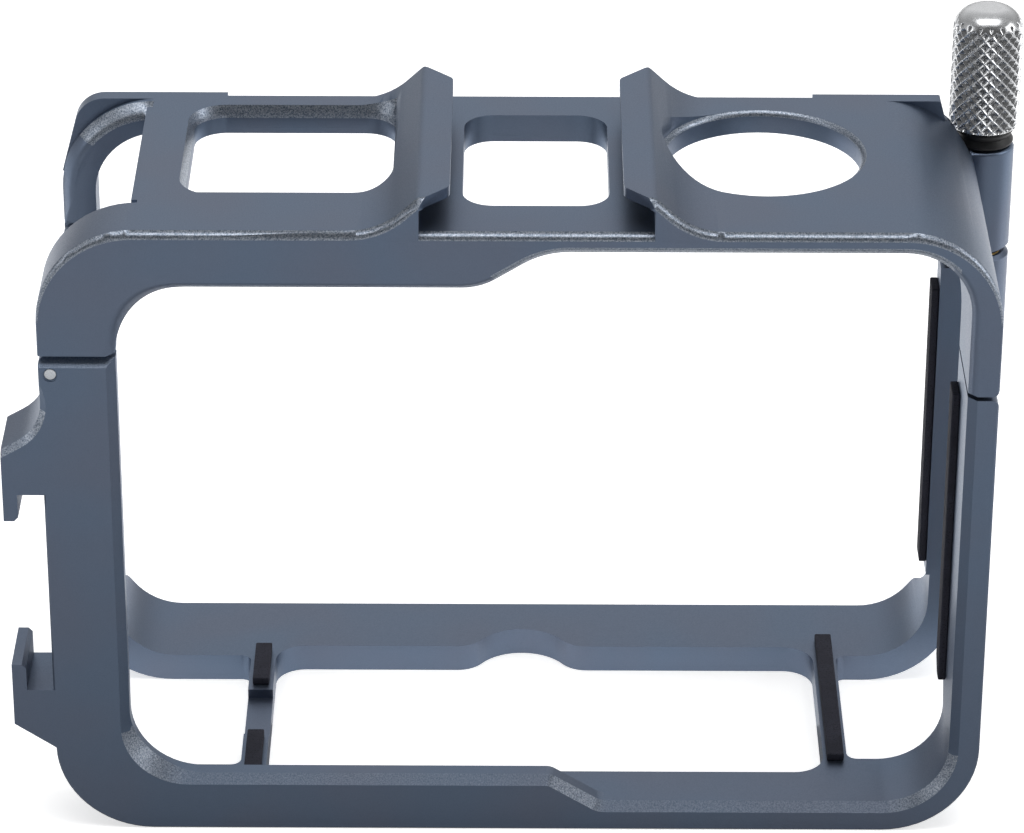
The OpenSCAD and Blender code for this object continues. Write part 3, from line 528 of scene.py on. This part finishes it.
@dataclass(frozen=True)
class Grooves:
    """Grooves in a turned piece, in metres in the part's frame.

    Each point of the surface moves in along its radius until it lies within the nearest groove. A groove's
    place is its start's turn plus its rise, so that all starts together climb the lead in one turn.
    """

    kind: Groove
    axis: Vector
    starts: int
    lead: float
    depth: float
    # Heights between which they are cut, and the length over which they run out
    low: float
    high: float
    fade: float
    # Radius of the uncut surface, and the radius inside which nothing is cut
    radius: float
    bore: float
    # Above 1, it flattens the crests of the ridges
    crest: float = 1.08
    smooth_deg: float = 32.0

    def inputs(self) -> dict[str, float]:
        """Names the tree's inputs.

        Returns:
            Each input's value.
        """
        return {
            "Axis X": self.axis.x,
            "Axis Y": self.axis.y,
            "Starts": float(self.starts),
            "Lead": self.lead,
            "Depth": self.depth,
            "Low": self.low,
            "High": self.high,
            "Fade": self.fade,
            "Radius": self.radius,
            "Bore": self.bore,
        }

    def tree(self) -> bpy.types.GeometryNodeTree:
        """Builds the tree that cuts crossed knurls, or one thread, into a turned surface.

        Returns:
            The node tree, with inputs for its sizes.
        """
        tree = bpy.data.node_groups.new(f"cut_{self.kind.value}", "GeometryNodeTree")
        face = tree.interface
        face.new_socket("Geometry", in_out="INPUT", socket_type="NodeSocketGeometry")
        for name in self.inputs():
            face.new_socket(name, in_out="INPUT", socket_type="NodeSocketFloat")
        face.new_socket("Material", in_out="INPUT", socket_type="NodeSocketMaterial")
        face.new_socket("Geometry", in_out="OUTPUT", socket_type="NodeSocketGeometry")
        source = add_node(tree, "NodeGroupInput").outputs
        place = add_node(tree, "GeometryNodeInputPosition").outputs[0]
        place = add_node(tree, "ShaderNodeSeparateXYZ", (place,)).outputs
        known = {name: source[name] for name in self.inputs()}
        known |= {"place x": place[0], "place y": place[1], "place z": place[2]}
        # Each step's name, what it does, and the two things it does it to
        steps = (
            ("x", "SUBTRACT", "place x", "Axis X"),
            ("y", "SUBTRACT", "place y", "Axis Y"),
            ("x squared", "MULTIPLY", "x", "x"),
            ("y squared", "MULTIPLY", "y", "y"),
            ("radius squared", "ADD", "x squared", "y squared"),
            ("radius", "SQRT", "radius squared", 0.0),
            ("angle", "ARCTAN2", "y", "x"),
            ("turns", "DIVIDE", "angle", 2 * math.pi),
            ("turn", "MULTIPLY", "turns", "Starts"),
            ("climb", "DIVIDE", "place z", "Lead"),
            ("rise", "MULTIPLY", "climb", "Starts"),
            # Triangle waves: 0 at the bottom of a groove, 1 midway between two grooves
            ("right groove", "ADD", "turn", "rise"),
            ("right wave", "MULTIPLY", "right groove", 2.0),
            ("right", "PINGPONG", "right wave", 1.0),
            ("left groove", "SUBTRACT", "turn", "rise"),
            ("left wave", "MULTIPLY", "left groove", 2.0),
            ("left", "PINGPONG", "left wave", 1.0),
            # Crossed ridges with a pit between them for the knurl, one rounded ridge for the thread
            ("ridge", "MAXIMUM", "right", "left" if self.kind is Groove.KNURL else "right"),
            ("wide ridge", "MULTIPLY", "ridge", self.crest),
            ("flat ridge", "MINIMUM", "wide ridge", 1.0),
            ("valley", "SUBTRACT", 1.0, "flat ridge"),
            # Both ends of the grooves run out
            ("above low", "SUBTRACT", "place z", "Low"),
            ("past low", "DIVIDE", "above low", "Fade"),
            ("below high", "SUBTRACT", "High", "place z"),
            ("short of high", "DIVIDE", "below high", "Fade"),
            ("between", "MINIMUM", "past low", "short of high"),
            ("at most all", "MINIMUM", "between", 1.0),
            ("inside", "MAXIMUM", "at most all", 0.0),
            ("outside bore", "GREATER_THAN", "radius", "Bore"),
            ("share", "MULTIPLY", "inside", "outside bore"),
            ("depth here", "MULTIPLY", "Depth", "share"),
            ("cut", "MULTIPLY", "valley", "depth here"),
            # Points outside the groove's floor move in to it
            ("floor", "SUBTRACT", "Radius", "cut"),
            ("room", "SUBTRACT", "floor", "radius"),
            ("move", "MINIMUM", "room", 0.0),
            ("safe radius", "MAXIMUM", "radius", 1e-6),
            ("scale", "DIVIDE", "move", "safe radius"),
            ("move x", "MULTIPLY", "x", "scale"),
            ("move y", "MULTIPLY", "y", "scale"),
            ("moved in", "MULTIPLY", "move", -1.0),
            ("hollow", "DIVIDE", "moved in", "Depth"),
        )
        for name, operation, a, b in steps:
            pair = (known.get(a, a), known.get(b, b))
            known[name] = add_node(tree, "ShaderNodeMath", pair, operation=operation).outputs[0]
        offset = add_node(tree, "ShaderNodeCombineXYZ", (known["move x"], known["move y"])).outputs[0]
        moved = {"Geometry": source["Geometry"], "Offset": offset}
        shape = add_node(tree, "GeometryNodeSetPosition", moved).outputs[0]
        # The share of the depth cut, which the finish reads to paint shade into the grooves
        marked = {"Geometry": shape, "Name": "hollow", "Value": known["hollow"]}
        shape = add_node(tree, "GeometryNodeStoreNamedAttribute", marked).outputs[0]
        shape = add_node(tree, "GeometryNodeRealizeInstances", (shape,)).outputs[0]
        dressed = {"Geometry": shape, "Material": source["Material"]}
        shape = add_node(tree, "GeometryNodeSetMaterial", dressed).outputs[0]
        add_node(tree, "NodeGroupOutput", (shape,))
        return tree

    def cut(self, piece: bpy.types.Object, material: bpy.types.Material) -> None:
        """Cuts the grooves into a piece and makes the result a plain mesh.

        Args:
            piece: The turned piece.
            material: The piece's finish.
        """
        tree = self.tree()
        modifier = piece.modifiers.new("grooves", "NODES")
        modifier.node_group = tree
        values = {**self.inputs(), "Material": material}
        for item in tree.interface.items_tree:
            if item.in_out == "INPUT" and item.name in values:
                modifier[item.identifier] = values[item.name]
        settle(piece)
        smooth(piece.data, self.smooth_deg)


# ---- sub-assemblies ----


@dataclass(frozen=True)
class MilledFrame:
    """One frame, and how its chamfers look."""

    node: str
    body: Body
    # Share of the painted glint on a level chamfer; it rises to all of it where the chamfer turns
    level_glint_share: float
    # True where chamfers read as flat cuts, False where they read as soft rounds
    flat_cuts: bool
    edge_steps: int


@dataclass
class Frames:
    """The two milled frames, with every edge broken by a fine bevel."""

    frames: tuple[MilledFrame, ...] = (
        MilledFrame("lower_frame", Body.LOWER, 0.25, True, 3),
        MilledFrame("upper_frame", Body.UPPER, 1.0, False, 2),
    )
    broken_edge: float = 0.08 * MM
    # Only edges that bend more than a chamfer's are bevelled
    sharp_deg: float = 56.0
    # Edges that bend more than this are sharp where chamfers are flat cuts
    flat_cut_deg: float = 36.0
    face_weight: int = 90
    weld: float = 0.008 * MM
    merge_deg: float = 0.6
    # Painted glints go on chamfers chosen by where they lie and how they face
    # Least and most that a slanted face's normal has along an axis
    slant: Span = (0.2, 0.97)
    # Depth of the zone behind the near face that holds its chamfers, and the least that they face up
    near_zone: float = 1.3 * MM
    near_rise: float = 0.05
    # A near chamfer whose normal turns this far sideways gets its full painted glint
    full_glint_turn: float = 0.5
    # Height of the zone below the top face that holds the rims' chamfers, and the least that they face up
    rim_zone: float = 3.3 * MM
    rim_rise: float = 0.15
    # Height of the zone round the top face that holds the window chamfers, and half its width
    top_zone: Span = (-1.1 * MM, 0.02 * MM)
    top_half: float = 30.8 * MM
    finish: AnodisedAluminium = AnodisedAluminium()

    def paint_chamfer_glints(self, work: bmesh.types.BMesh, near: float, top: float, level_glint_share: float) -> None:
        """Writes the share of painted glint on each chamfer's faces, for the finish to read.

        Args:
            work: The frame's mesh.
            near: Depth coordinate of the near face.
            top: Height of the top face.
            level_glint_share: Share of painted glint on a level chamfer of the near face.
        """
        layer = work.faces.layers.float.new("chamfer")
        least, most = self.slant
        for face in work.faces:
            n, c = face.normal, face.calc_center_median()
            slanted = least < abs(n.y) < most
            by_near = slanted and n.y < 0 and n.z > self.near_rise and c.y < near + self.near_zone
            by_rim = slanted and abs(n.z) > self.rim_rise and c.z > top - self.rim_zone
            in_top = top + self.top_zone[0] < c.z < top + self.top_zone[1] and abs(c.x) < self.top_half
            by_top = in_top and least < n.z < most
            # Painted glints: near chamfers facing forward and up, and the chamfers of the rims and windows
            # near the top
            if by_near:
                turned = min(abs(n.x) / self.full_glint_turn, 1.0)
                face[layer] = level_glint_share + (1 - level_glint_share) * turned
            else:
                face[layer] = 1.0 if by_rim or by_top else 0.0

    def build_one(self, one: MilledFrame, material: bpy.types.Material, frame: dict) -> None:
        """Makes one frame from its CAD node.

        Args:
            one: The frame.
            material: The frame's finish.
        """
        work = bmesh.new()
        work.from_mesh(frame["nodes"][one.node].data)
        merge = math.radians(self.merge_deg)
        bmesh.ops.remove_doubles(work, verts=work.verts, dist=self.weld)
        bmesh.ops.dissolve_degenerate(work, dist=self.weld, edges=work.edges)
        bmesh.ops.dissolve_limit(work, angle_limit=merge, verts=work.verts, edges=work.edges)
        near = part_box("lower_frame")[0].y
        top = next(m for m in frame["record"]["mounts"] if m["name"] == "shoe_floor")["pos_m"][2]
        self.paint_chamfer_glints(work, near, top, one.level_glint_share)
        piece = place_mesh(f"{one.node}_milled", work, self.sharp_deg)
        bevel = piece.modifiers.new("broken_edges", "BEVEL")
        bevel.width = self.broken_edge
        bevel.segments = one.edge_steps
        bevel.limit_method = "ANGLE"
        bevel.angle_limit = math.radians(self.sharp_deg)
        bevel.harden_normals = not one.flat_cuts
        bevel.use_clamp_overlap = True
        if one.flat_cuts:
            settle(piece)
            smooth(piece.data, self.flat_cut_deg)
        weights = piece.modifiers.new("flat_faces_stay_flat", "WEIGHTED_NORMAL")
        weights.keep_sharp = True
        weights.weight = self.face_weight
        settle(piece)
        finish_piece(piece, one.body, material, one.node)

    def build(self, frame: dict) -> None:
        """Makes both frames.
        """
        material = self.finish.build()
        for one in self.frames:
            self.build_one(one, material, frame)


@dataclass
class HingePins:
    """The two hinge pins: turned steel with rounded ends."""

    nodes: tuple[str, ...] = ("hinge_pin_near", "hinge_pin_far")
    end_round: float = 0.06 * MM
    end_steps: int = 5
    steps: int = 48
    finish: TurnedMetal = TurnedMetal("ground_stainless_pin", "#CDD1D5", "#AEB3B9", "#8B8E92", 0.24)

    def build_one(self, node: str, material: bpy.types.Material) -> None:
        """Makes one pin from its CAD node.

        Args:
            node: The CAD node.
            material: The pin's finish.
        """
        low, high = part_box(node)
        radius, length, e = (high.x - low.x) / 2, high.y - low.y, self.end_round
        profile = [(0, 0), *arc(radius - e, e, e, -90, 0, self.end_steps)]
        profile += [*arc(radius - e, length - e, e, 0, 90, self.end_steps), (0, length)]
        work = lathe(profile, Vector((0, 0, 0)), self.steps, False)
        end = Vector(((low.x + high.x) / 2, low.y, (low.z + high.z) / 2))
        work.transform(Matrix.Translation(end) @ Matrix.Rotation(math.radians(-90), 4, "X"))
        piece = place_mesh(f"{node}_turned", work)
        finish_piece(piece, Body.LOWER, material, node)

    def build(self) -> None:
        """Makes both pins."""
        material = self.finish.build()
        for node in self.nodes:
            self.build_one(node, material)


@dataclass
class ThumbScrew:
    """The captive thumb screw: knurled knob, rubber ring, threaded shank and clip."""

    dome: float = 1.9 * MM
    dome_steps: int = 28
    # Place of a ring of points on the knob's flat top, as a part of its radius
    top_ring: float = 0.5
    foot_round: float = 0.35 * MM
    foot_steps: int = 6
    socket_radius: float = 1.25 * MM
    socket_depth: float = 5.05 * MM
    knurl_starts: int = 18
    knurl_lead: float = 18.6 * MM
    knurl_depth: float = 0.42 * MM
    knurl_low: float = 0.15 * MM
    # Height of the plain dome above the knurl
    knurl_rest: float = 0.6 * MM
    knurl_fade: float = 0.15 * MM
    # Steps round the knob and up its side
    knurl_steps: tuple[int, int] = (468, 170)
    shank_chamfer: float = 0.3 * MM
    thread_length: float = 7 * MM
    thread_pitch: float = 0.5 * MM
    thread_depth: float = 0.22 * MM
    # Part of the shank's radius inside which its foot is left alone
    thread_core: float = 0.6
    # Steps round the shank and up its side
    thread_steps: tuple[int, int] = (72, 260)
    # Radius of the ring's and the clip's bore
    bore: float = 1.27 * MM
    ring_lip: float = 0.22 * MM
    # How far each lip's round runs on past its widest point, towards the waist
    ring_lip_deg: float = 20.0
    ring_lip_steps: int = 8
    ring_waist: float = 0.28 * MM
    ring_smooth_deg: float = 50.0
    ring_steps: int = 96
    clip_edge: float = 0.12 * MM
    clip_edge_steps: int = 4
    clip_steps: int = 72
    knob_finish: TurnedMetal = TurnedMetal("knurled_stainless_steel", "#D8D9DB", "#C0C2C4", "#9C9EA1", 0.24)
    shank_finish: TurnedMetal = TurnedMetal()
    ring_finish: Rubber = Rubber()
    clip_finish: TurnedMetal = TurnedMetal("blackened_spring_steel", "#4A4B4E", "#37383A", "#2C2D2F", 0.4)

    def knob(self, material: bpy.types.Material) -> None:
        """Makes the knob: a turned body with a dome, cut by crossed knurls.

        Args:
            material: The knob's finish.
        """
        foot, radius, height = turned_size("thumb_knob")
        around, upward = self.knurl_steps
        f, inner, shoulder = self.foot_round, radius - self.dome, height - self.dome
        profile = [(0, self.socket_depth), (self.socket_radius, self.socket_depth), (self.socket_radius, 0)]
        profile += arc(radius - f, f, f, -90, 0, self.foot_steps)
        profile += run((radius, f), (radius, shoulder), upward)
        profile += arc(inner, shoulder, self.dome, 0, 90, self.dome_steps)
        profile += [(self.top_ring * inner, height), (0, height)]
        piece = place_mesh("thumb_knob_knurled", lathe(profile, foot, around, False))
        Grooves(
            kind=Groove.KNURL,
            axis=foot,
            starts=self.knurl_starts,
            lead=self.knurl_lead,
            depth=self.knurl_depth,
            low=foot.z + self.knurl_low,
            high=foot.z + height - self.knurl_rest,
            fade=self.knurl_fade,
            radius=radius,
            bore=inner,
        ).cut(piece, material)
        finish_piece(piece, Body.SCREW, material, "thumb_knob")

    def shank(self, material: bpy.types.Material) -> None:
        """Makes the shank, threaded below the knob.

        Args:
            material: The shank's finish.
        """
        foot, radius, height = turned_size("screw_stud")
        around, upward = self.thread_steps
        c = self.shank_chamfer
        profile = [(0, 0), (radius - c, 0), (radius, c), *run((radius, c), (radius, height), upward)]
        profile += [(radius, height), (0, height)]
        piece = place_mesh("screw_shank_threaded", lathe(profile, foot, around, False))
        Grooves(
            kind=Groove.THREAD,
            axis=foot,
            starts=1,
            lead=self.thread_pitch,
            depth=self.thread_depth,
            low=foot.z,
            high=foot.z + self.thread_length,
            fade=self.thread_pitch,
            radius=radius,
            bore=self.thread_core * radius,
        ).cut(piece, material)
        finish_piece(piece, Body.SCREW, material, "screw_stud")

    def ring(self, material: bpy.types.Material) -> None:
        """Makes the rubber ring, with a waist between its two lips.

        Args:
            material: The ring's finish.
        """
        foot, radius, height = turned_size("screw_seal_ring")
        e, past, steps = self.ring_lip, self.ring_lip_deg, self.ring_lip_steps
        profile = [(self.bore, 0), *arc(radius - e, e, e, -90, past, steps)]
        profile.append((radius - self.ring_waist, height / 2))
        profile += [*arc(radius - e, height - e, e, -past, 90, steps), (self.bore, height)]
        turned = lathe(profile, foot, self.ring_steps, True)
        piece = place_mesh("screw_ring_moulded", turned, self.ring_smooth_deg)
        finish_piece(piece, Body.SCREW, material, "screw_seal_ring")

    def clip(self, material: bpy.types.Material) -> None:
        """Makes the clip as a stamped washer with rounded edges.

        Args:
            material: The clip's finish.
        """
        foot, radius, height = turned_size("screw_clip")
        e = self.clip_edge
        profile = [(self.bore, 0), *arc(radius - e, e, e, -90, 0, self.clip_edge_steps)]
        profile += [*arc(radius - e, height - e, e, 0, 90, self.clip_edge_steps), (self.bore, height)]
        piece = place_mesh("screw_clip_stamped", lathe(profile, foot, self.clip_steps, True))
        finish_piece(piece, Body.SCREW, material, "screw_clip")

    def build(self) -> None:
        """Makes the four pieces of the screw."""
        self.knob(self.knob_finish.build())
        self.shank(self.shank_finish.build())
        self.ring(self.ring_finish.build())
        self.clip(self.clip_finish.build())


@dataclass
class BossInsert:
    """The threaded brass insert pressed into the lower boss."""

    bore: float = 1.64 * MM
    lead_in: float = 0.2 * MM
    pitch: float = 0.5 * MM
    thread_depth: float = 0.12 * MM
    steps: int = 72
    finish: TurnedMetal = TurnedMetal("machined_brass", "#C9A96A", "#A8874C", "#7A6238", 0.3)

    def build(self) -> None:
        """Makes the insert: a tube with a chamfered mouth and shallow grooves round its bore."""
        foot, radius, height = turned_size("boss_insert")
        c, mouth = self.lead_in, self.bore + self.lead_in
        profile = [(mouth, 0), (radius - c, 0), (radius, c), (radius, height - c / 2)]
        profile += [(radius - c / 2, height), (mouth, height)]
        turns = int((height - 2 * c) / self.pitch)
        for k in range(turns):
            top = height - c - k * self.pitch
            profile += [(self.bore, top), (self.bore + self.thread_depth, top - self.pitch / 2)]
        profile.append((self.bore, height - c - turns * self.pitch))
        piece = place_mesh("boss_insert_machined", lathe(profile, foot, self.steps, True))
        finish_piece(piece, Body.LOWER, self.finish.build(), "boss_insert")


@dataclass
class FoamPads:
    """The foam pads glued to the crossbars, the right wall and the top plate."""

    edge: float = 0.14 * MM
    edge_steps: int = 3
    # 0.5 is a round edge, and more is a squarer one
    edge_shape: float = 0.6
    smooth_deg: float = 50.0
    weld: float = 0.0005 * MM
    merge_deg: float = 0.4
    fill: float = 0.9
    lower: tuple[str, ...] = (
        "pad_bar_left_far",
        "pad_bar_left_near",
        "pad_bar_right",
        "pad_wall_far",
        "pad_wall_near",
    )
    upper: tuple[str, ...] = ("pad_top_left", "pad_top_right")
    finish: Foam = Foam()

    def build_one(self, node: str, body: Body, material: bpy.types.Material, frame: dict) -> None:
        """Makes one pad from its CAD node, with soft edges.

        Args:
            node: The CAD node.
            body: The body that the pad rides on.
            material: The pad's finish.
        """
        work = bmesh.new()
        work.from_mesh(frame["nodes"][node].data)
        merge = math.radians(self.merge_deg)
        bmesh.ops.remove_doubles(work, verts=work.verts, dist=self.weld)
        bmesh.ops.dissolve_limit(work, angle_limit=merge, verts=work.verts, edges=work.edges)
        edges = {"geom": list(work.edges), "affect": "EDGES", "offset": self.edge}
        bmesh.ops.bevel(work, **edges, segments=self.edge_steps, profile=self.edge_shape)
        bmesh.ops.triangulate(work, faces=[f for f in work.faces if len(f.verts) > 4])
        piece = place_mesh(f"{node}_cut", work, self.smooth_deg)
        finish_piece(piece, body, material, node)

    def build(self, frame: dict) -> None:
        """Makes every pad.
        """
        material = self.finish.build()
        for node in self.lower:
            self.build_one(node, Body.LOWER, material, frame)
        for node in self.upper:
            self.build_one(node, Body.UPPER, material, frame)


# ---- camera, floor and light ----


@dataclass(frozen=True)
class SoftBox:
    """A rectangular soft box: its name, place in metres, width, depth and power in watts."""

    name: str
    at: Point
    wide: float
    deep: float
    watts: float

    def build(self, aim: Vector) -> None:
        """Makes the lamp.

        Args:
            aim: The point it looks at.
        """
        data = bpy.data.lights.new(self.name, "AREA")
        data.shape, data.size, data.size_y, data.energy = "RECTANGLE", self.wide, self.deep, self.watts
        made = bpy.data.objects.new(self.name, data)
        at = Vector(self.at)
        turn = (aim - at).to_track_quat("-Z", "Y").to_matrix().to_4x4()
        made.matrix_world = Matrix.Translation(at) @ turn
        bpy.context.collection.objects.link(made)


@dataclass
class Studio:
    """The camera, a pale floor, and plain soft light."""

    camera_at: Point = (-0.148 * MM, -357.017 * MM, 219.321 * MM)
    pitch_deg: float = 27.846
    yaw_deg: float = -0.072
    roll_deg: float = 0.177
    lens_mm: float = 166.85
    sensor_mm: float = 36.0
    clip: Span = (0.01, 50.0)
    floor_half: float = 3.0
    floor_pale: str = "#F2F2F2"
    # Darkest tone of the painted shadow that reflections see on the floor
    floor_painted_shadow: str = "#707070"
    floor_roughness: float = 0.9
    floor_specular: float = 0.1
    # Painted shadow on the floor, seen only in reflections: the depths between which it fades, and the
    # floor's paleness there
    painted_shadow_depths: Span = (-0.12, -0.03)
    painted_shadow_paleness: Span = (1.0, 0.5)
    # Light that the floor adds to the camera's view, and to reflections ahead of the cage and behind it
    glow_seen: float = 0.6
    glow_mirrored: Span = (0.08, 0.7)
    # Sky level by height, from just below the horizon to the zenith
    sky: tuple[tuple[float, float], ...] = (
        (0.0, 0.42),
        (0.2, 0.42),
        (0.38, 0.9),
        (0.56, 1.0),
        (0.8, 0.7),
        (1.0, 0.6),
    )
    # Upward part of the direction at the first and last of those levels
    sky_heights: Span = (-0.2, 1.0)
    # Sky level at the sides against that in the middle, and the sideways part between which it falls
    sky_side: float = 0.45
    sky_side_span: Span = (0.2, 0.8)
    # Sky level ahead of the cage against that behind it, and the backward part between which it rises
    sky_ahead: float = 0.15
    sky_ahead_span: Span = (-0.7, 0.0)
    aim: Point = (0.0, 0.0, 0.03)
    boxes: tuple[SoftBox, ...] = (
        SoftBox("soft_box_top", (0.0, -0.14, 0.9), 0.85, 0.4, 3.6),
        SoftBox("soft_box_left", (-0.79, -0.26, 0.38), 0.3, 0.3, 0.8),
        SoftBox("soft_box_right", (0.79, -0.12, 0.34), 0.4, 0.4, 2.0),
    )

    def camera(self) -> None:
        """Makes the camera and gives it to the scene."""
        data = bpy.data.cameras.new("camera")
        data.lens, data.sensor_width, data.sensor_fit = self.lens_mm, self.sensor_mm, "HORIZONTAL"
        data.clip_start, data.clip_end = self.clip
        made = bpy.data.objects.new("camera", data)
        turn = Euler((math.radians(90 - self.pitch_deg), 0, math.radians(-self.yaw_deg))).to_matrix()
        roll = Matrix.Rotation(math.radians(self.roll_deg), 4, "Z")
        made.matrix_world = Matrix.Translation(Vector(self.camera_at)) @ turn.to_4x4() @ roll
        bpy.context.collection.objects.link(made)
        bpy.context.scene.camera = made

    def floor_material(self) -> bpy.types.Material:
        """Builds the floor's paint: white to the camera, and to reflections darker near the cage, a painted
        shadow.

        Returns:
            The material.
        """
        material, tree, shader = new_material("painted_studio_floor")
        shader.inputs["Roughness"].default_value = self.floor_roughness
        shader.inputs["Specular IOR Level"].default_value = self.floor_specular
        shader.inputs["Emission Color"].default_value = (1, 1, 1, 1)
        seen = add_node(tree, "ShaderNodeLightPath").outputs
        place = add_node(tree, "ShaderNodeTexCoord").outputs["Object"]
        away = add_node(tree, "ShaderNodeSeparateXYZ", (place,)).outputs[1]
        # Painted shadow: reflections see the floor darken towards the cage's near face
        fade = add_node(tree, "ShaderNodeMapRange", (away, *self.painted_shadow_depths, *self.painted_shadow_paleness)).outputs[0]
        behind = add_node(tree, "ShaderNodeMath", (away, 0.0), operation="GREATER_THAN").outputs[0]
        level = add_node(tree, "ShaderNodeMath", (fade, behind), operation="MAXIMUM").outputs[0]
        pale = linear(self.floor_pale)
        tones = {0: level, 6: linear(self.floor_painted_shadow), 7: pale}
        mirrored_shadowed_floor = add_node(tree, "ShaderNodeMix", tones, data_type="RGBA").outputs[2]
        tones = {0: seen["Is Glossy Ray"], 6: pale, 7: mirrored_shadowed_floor}
        colour = add_node(tree, "ShaderNodeMix", tones, data_type="RGBA")
        tree.links.new(colour.outputs[2], shader.inputs["Base Color"])
        glow = add_node(tree, "ShaderNodeMapRange", (behind, 0.0, 1.0, *self.glow_mirrored)).outputs[0]
        pair = (seen["Is Glossy Ray"], glow)
        glow = add_node(tree, "ShaderNodeMath", pair, operation="MULTIPLY").outputs[0]
        pair = (seen["Is Camera Ray"], self.glow_seen)
        direct = add_node(tree, "ShaderNodeMath", pair, operation="MULTIPLY").outputs[0]
        glow = add_node(tree, "ShaderNodeMath", (direct, glow), operation="MAXIMUM").outputs[0]
        tree.links.new(glow, shader.inputs["Emission Strength"])
        return material

    def floor(self) -> None:
        """Makes the floor, which shows nothing but the cage's own soft shadow."""
        work = bmesh.new()
        h = self.floor_half
        work.faces.new([work.verts.new((x, y, 0)) for x, y in ((-h, -h), (h, -h), (h, h), (-h, h))])
        made = place_mesh("floor", work)
        made.data.materials.append(self.floor_material())

    def world(self) -> None:
        """Makes the world: white to the camera, and to the rest a soft sky, dimmer ahead and at the sides."""
        world = bpy.data.worlds.new("studio")
        bpy.context.scene.world = world
        world.use_nodes = True
        tree = world.node_tree
        tree.nodes.clear()
        way = add_node(tree, "ShaderNodeTexCoord").outputs["Generated"]
        way = add_node(tree, "ShaderNodeSeparateXYZ", (way,)).outputs
        height = add_node(tree, "ShaderNodeMapRange", (way[2], *self.sky_heights)).outputs[0]
        bands = add_node(tree, "ShaderNodeValToRGB", (height,))
        points = bands.color_ramp.elements
        while len(points) < len(self.sky):
            points.new(0.5)
        for point, (at, value) in zip(points, self.sky):
            point.position, point.color = at, (value, value, value, 1)
        side = add_node(tree, "ShaderNodeMath", (way[0],), operation="ABSOLUTE").outputs[0]
        side = (side, *self.sky_side_span, 1.0, self.sky_side)
        side = add_node(tree, "ShaderNodeMapRange", side).outputs[0]
        ahead = (way[1], *self.sky_ahead_span, self.sky_ahead, 1.0)
        ahead = add_node(tree, "ShaderNodeMapRange", ahead).outputs[0]
        pair = (bands.outputs[0], side)
        level = add_node(tree, "ShaderNodeMath", pair, operation="MULTIPLY").outputs[0]
        level = add_node(tree, "ShaderNodeMath", (level, ahead), operation="MULTIPLY").outputs[0]
        seen = add_node(tree, "ShaderNodeLightPath").outputs["Is Camera Ray"]
        strength = add_node(tree, "ShaderNodeMath", (level, seen), operation="MAXIMUM").outputs[0]
        back = add_node(tree, "ShaderNodeBackground", {"Color": (1, 1, 1, 1), "Strength": strength})
        add_node(tree, "ShaderNodeOutputWorld", {"Surface": back.outputs[0]})

    def build(self) -> None:
        """Makes the whole studio."""
        self.camera()
        self.floor()
        self.world()
        for box in self.boxes:
            box.build(Vector(self.aim))
        bpy.context.scene.view_settings.view_transform = "Standard"


def main(frame: dict) -> None:
    """Builds every piece in order.
    """
    logging.basicConfig(level=logging.INFO, format="%(name)s: %(message)s")
    Studio().build()
    Frames().build(frame)
    HingePins().build()
    ThumbScrew().build()
    BossInsert().build()
    FoamPads().build(frame)


if __name__ == "__main__":
    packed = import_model()
    main(packed)
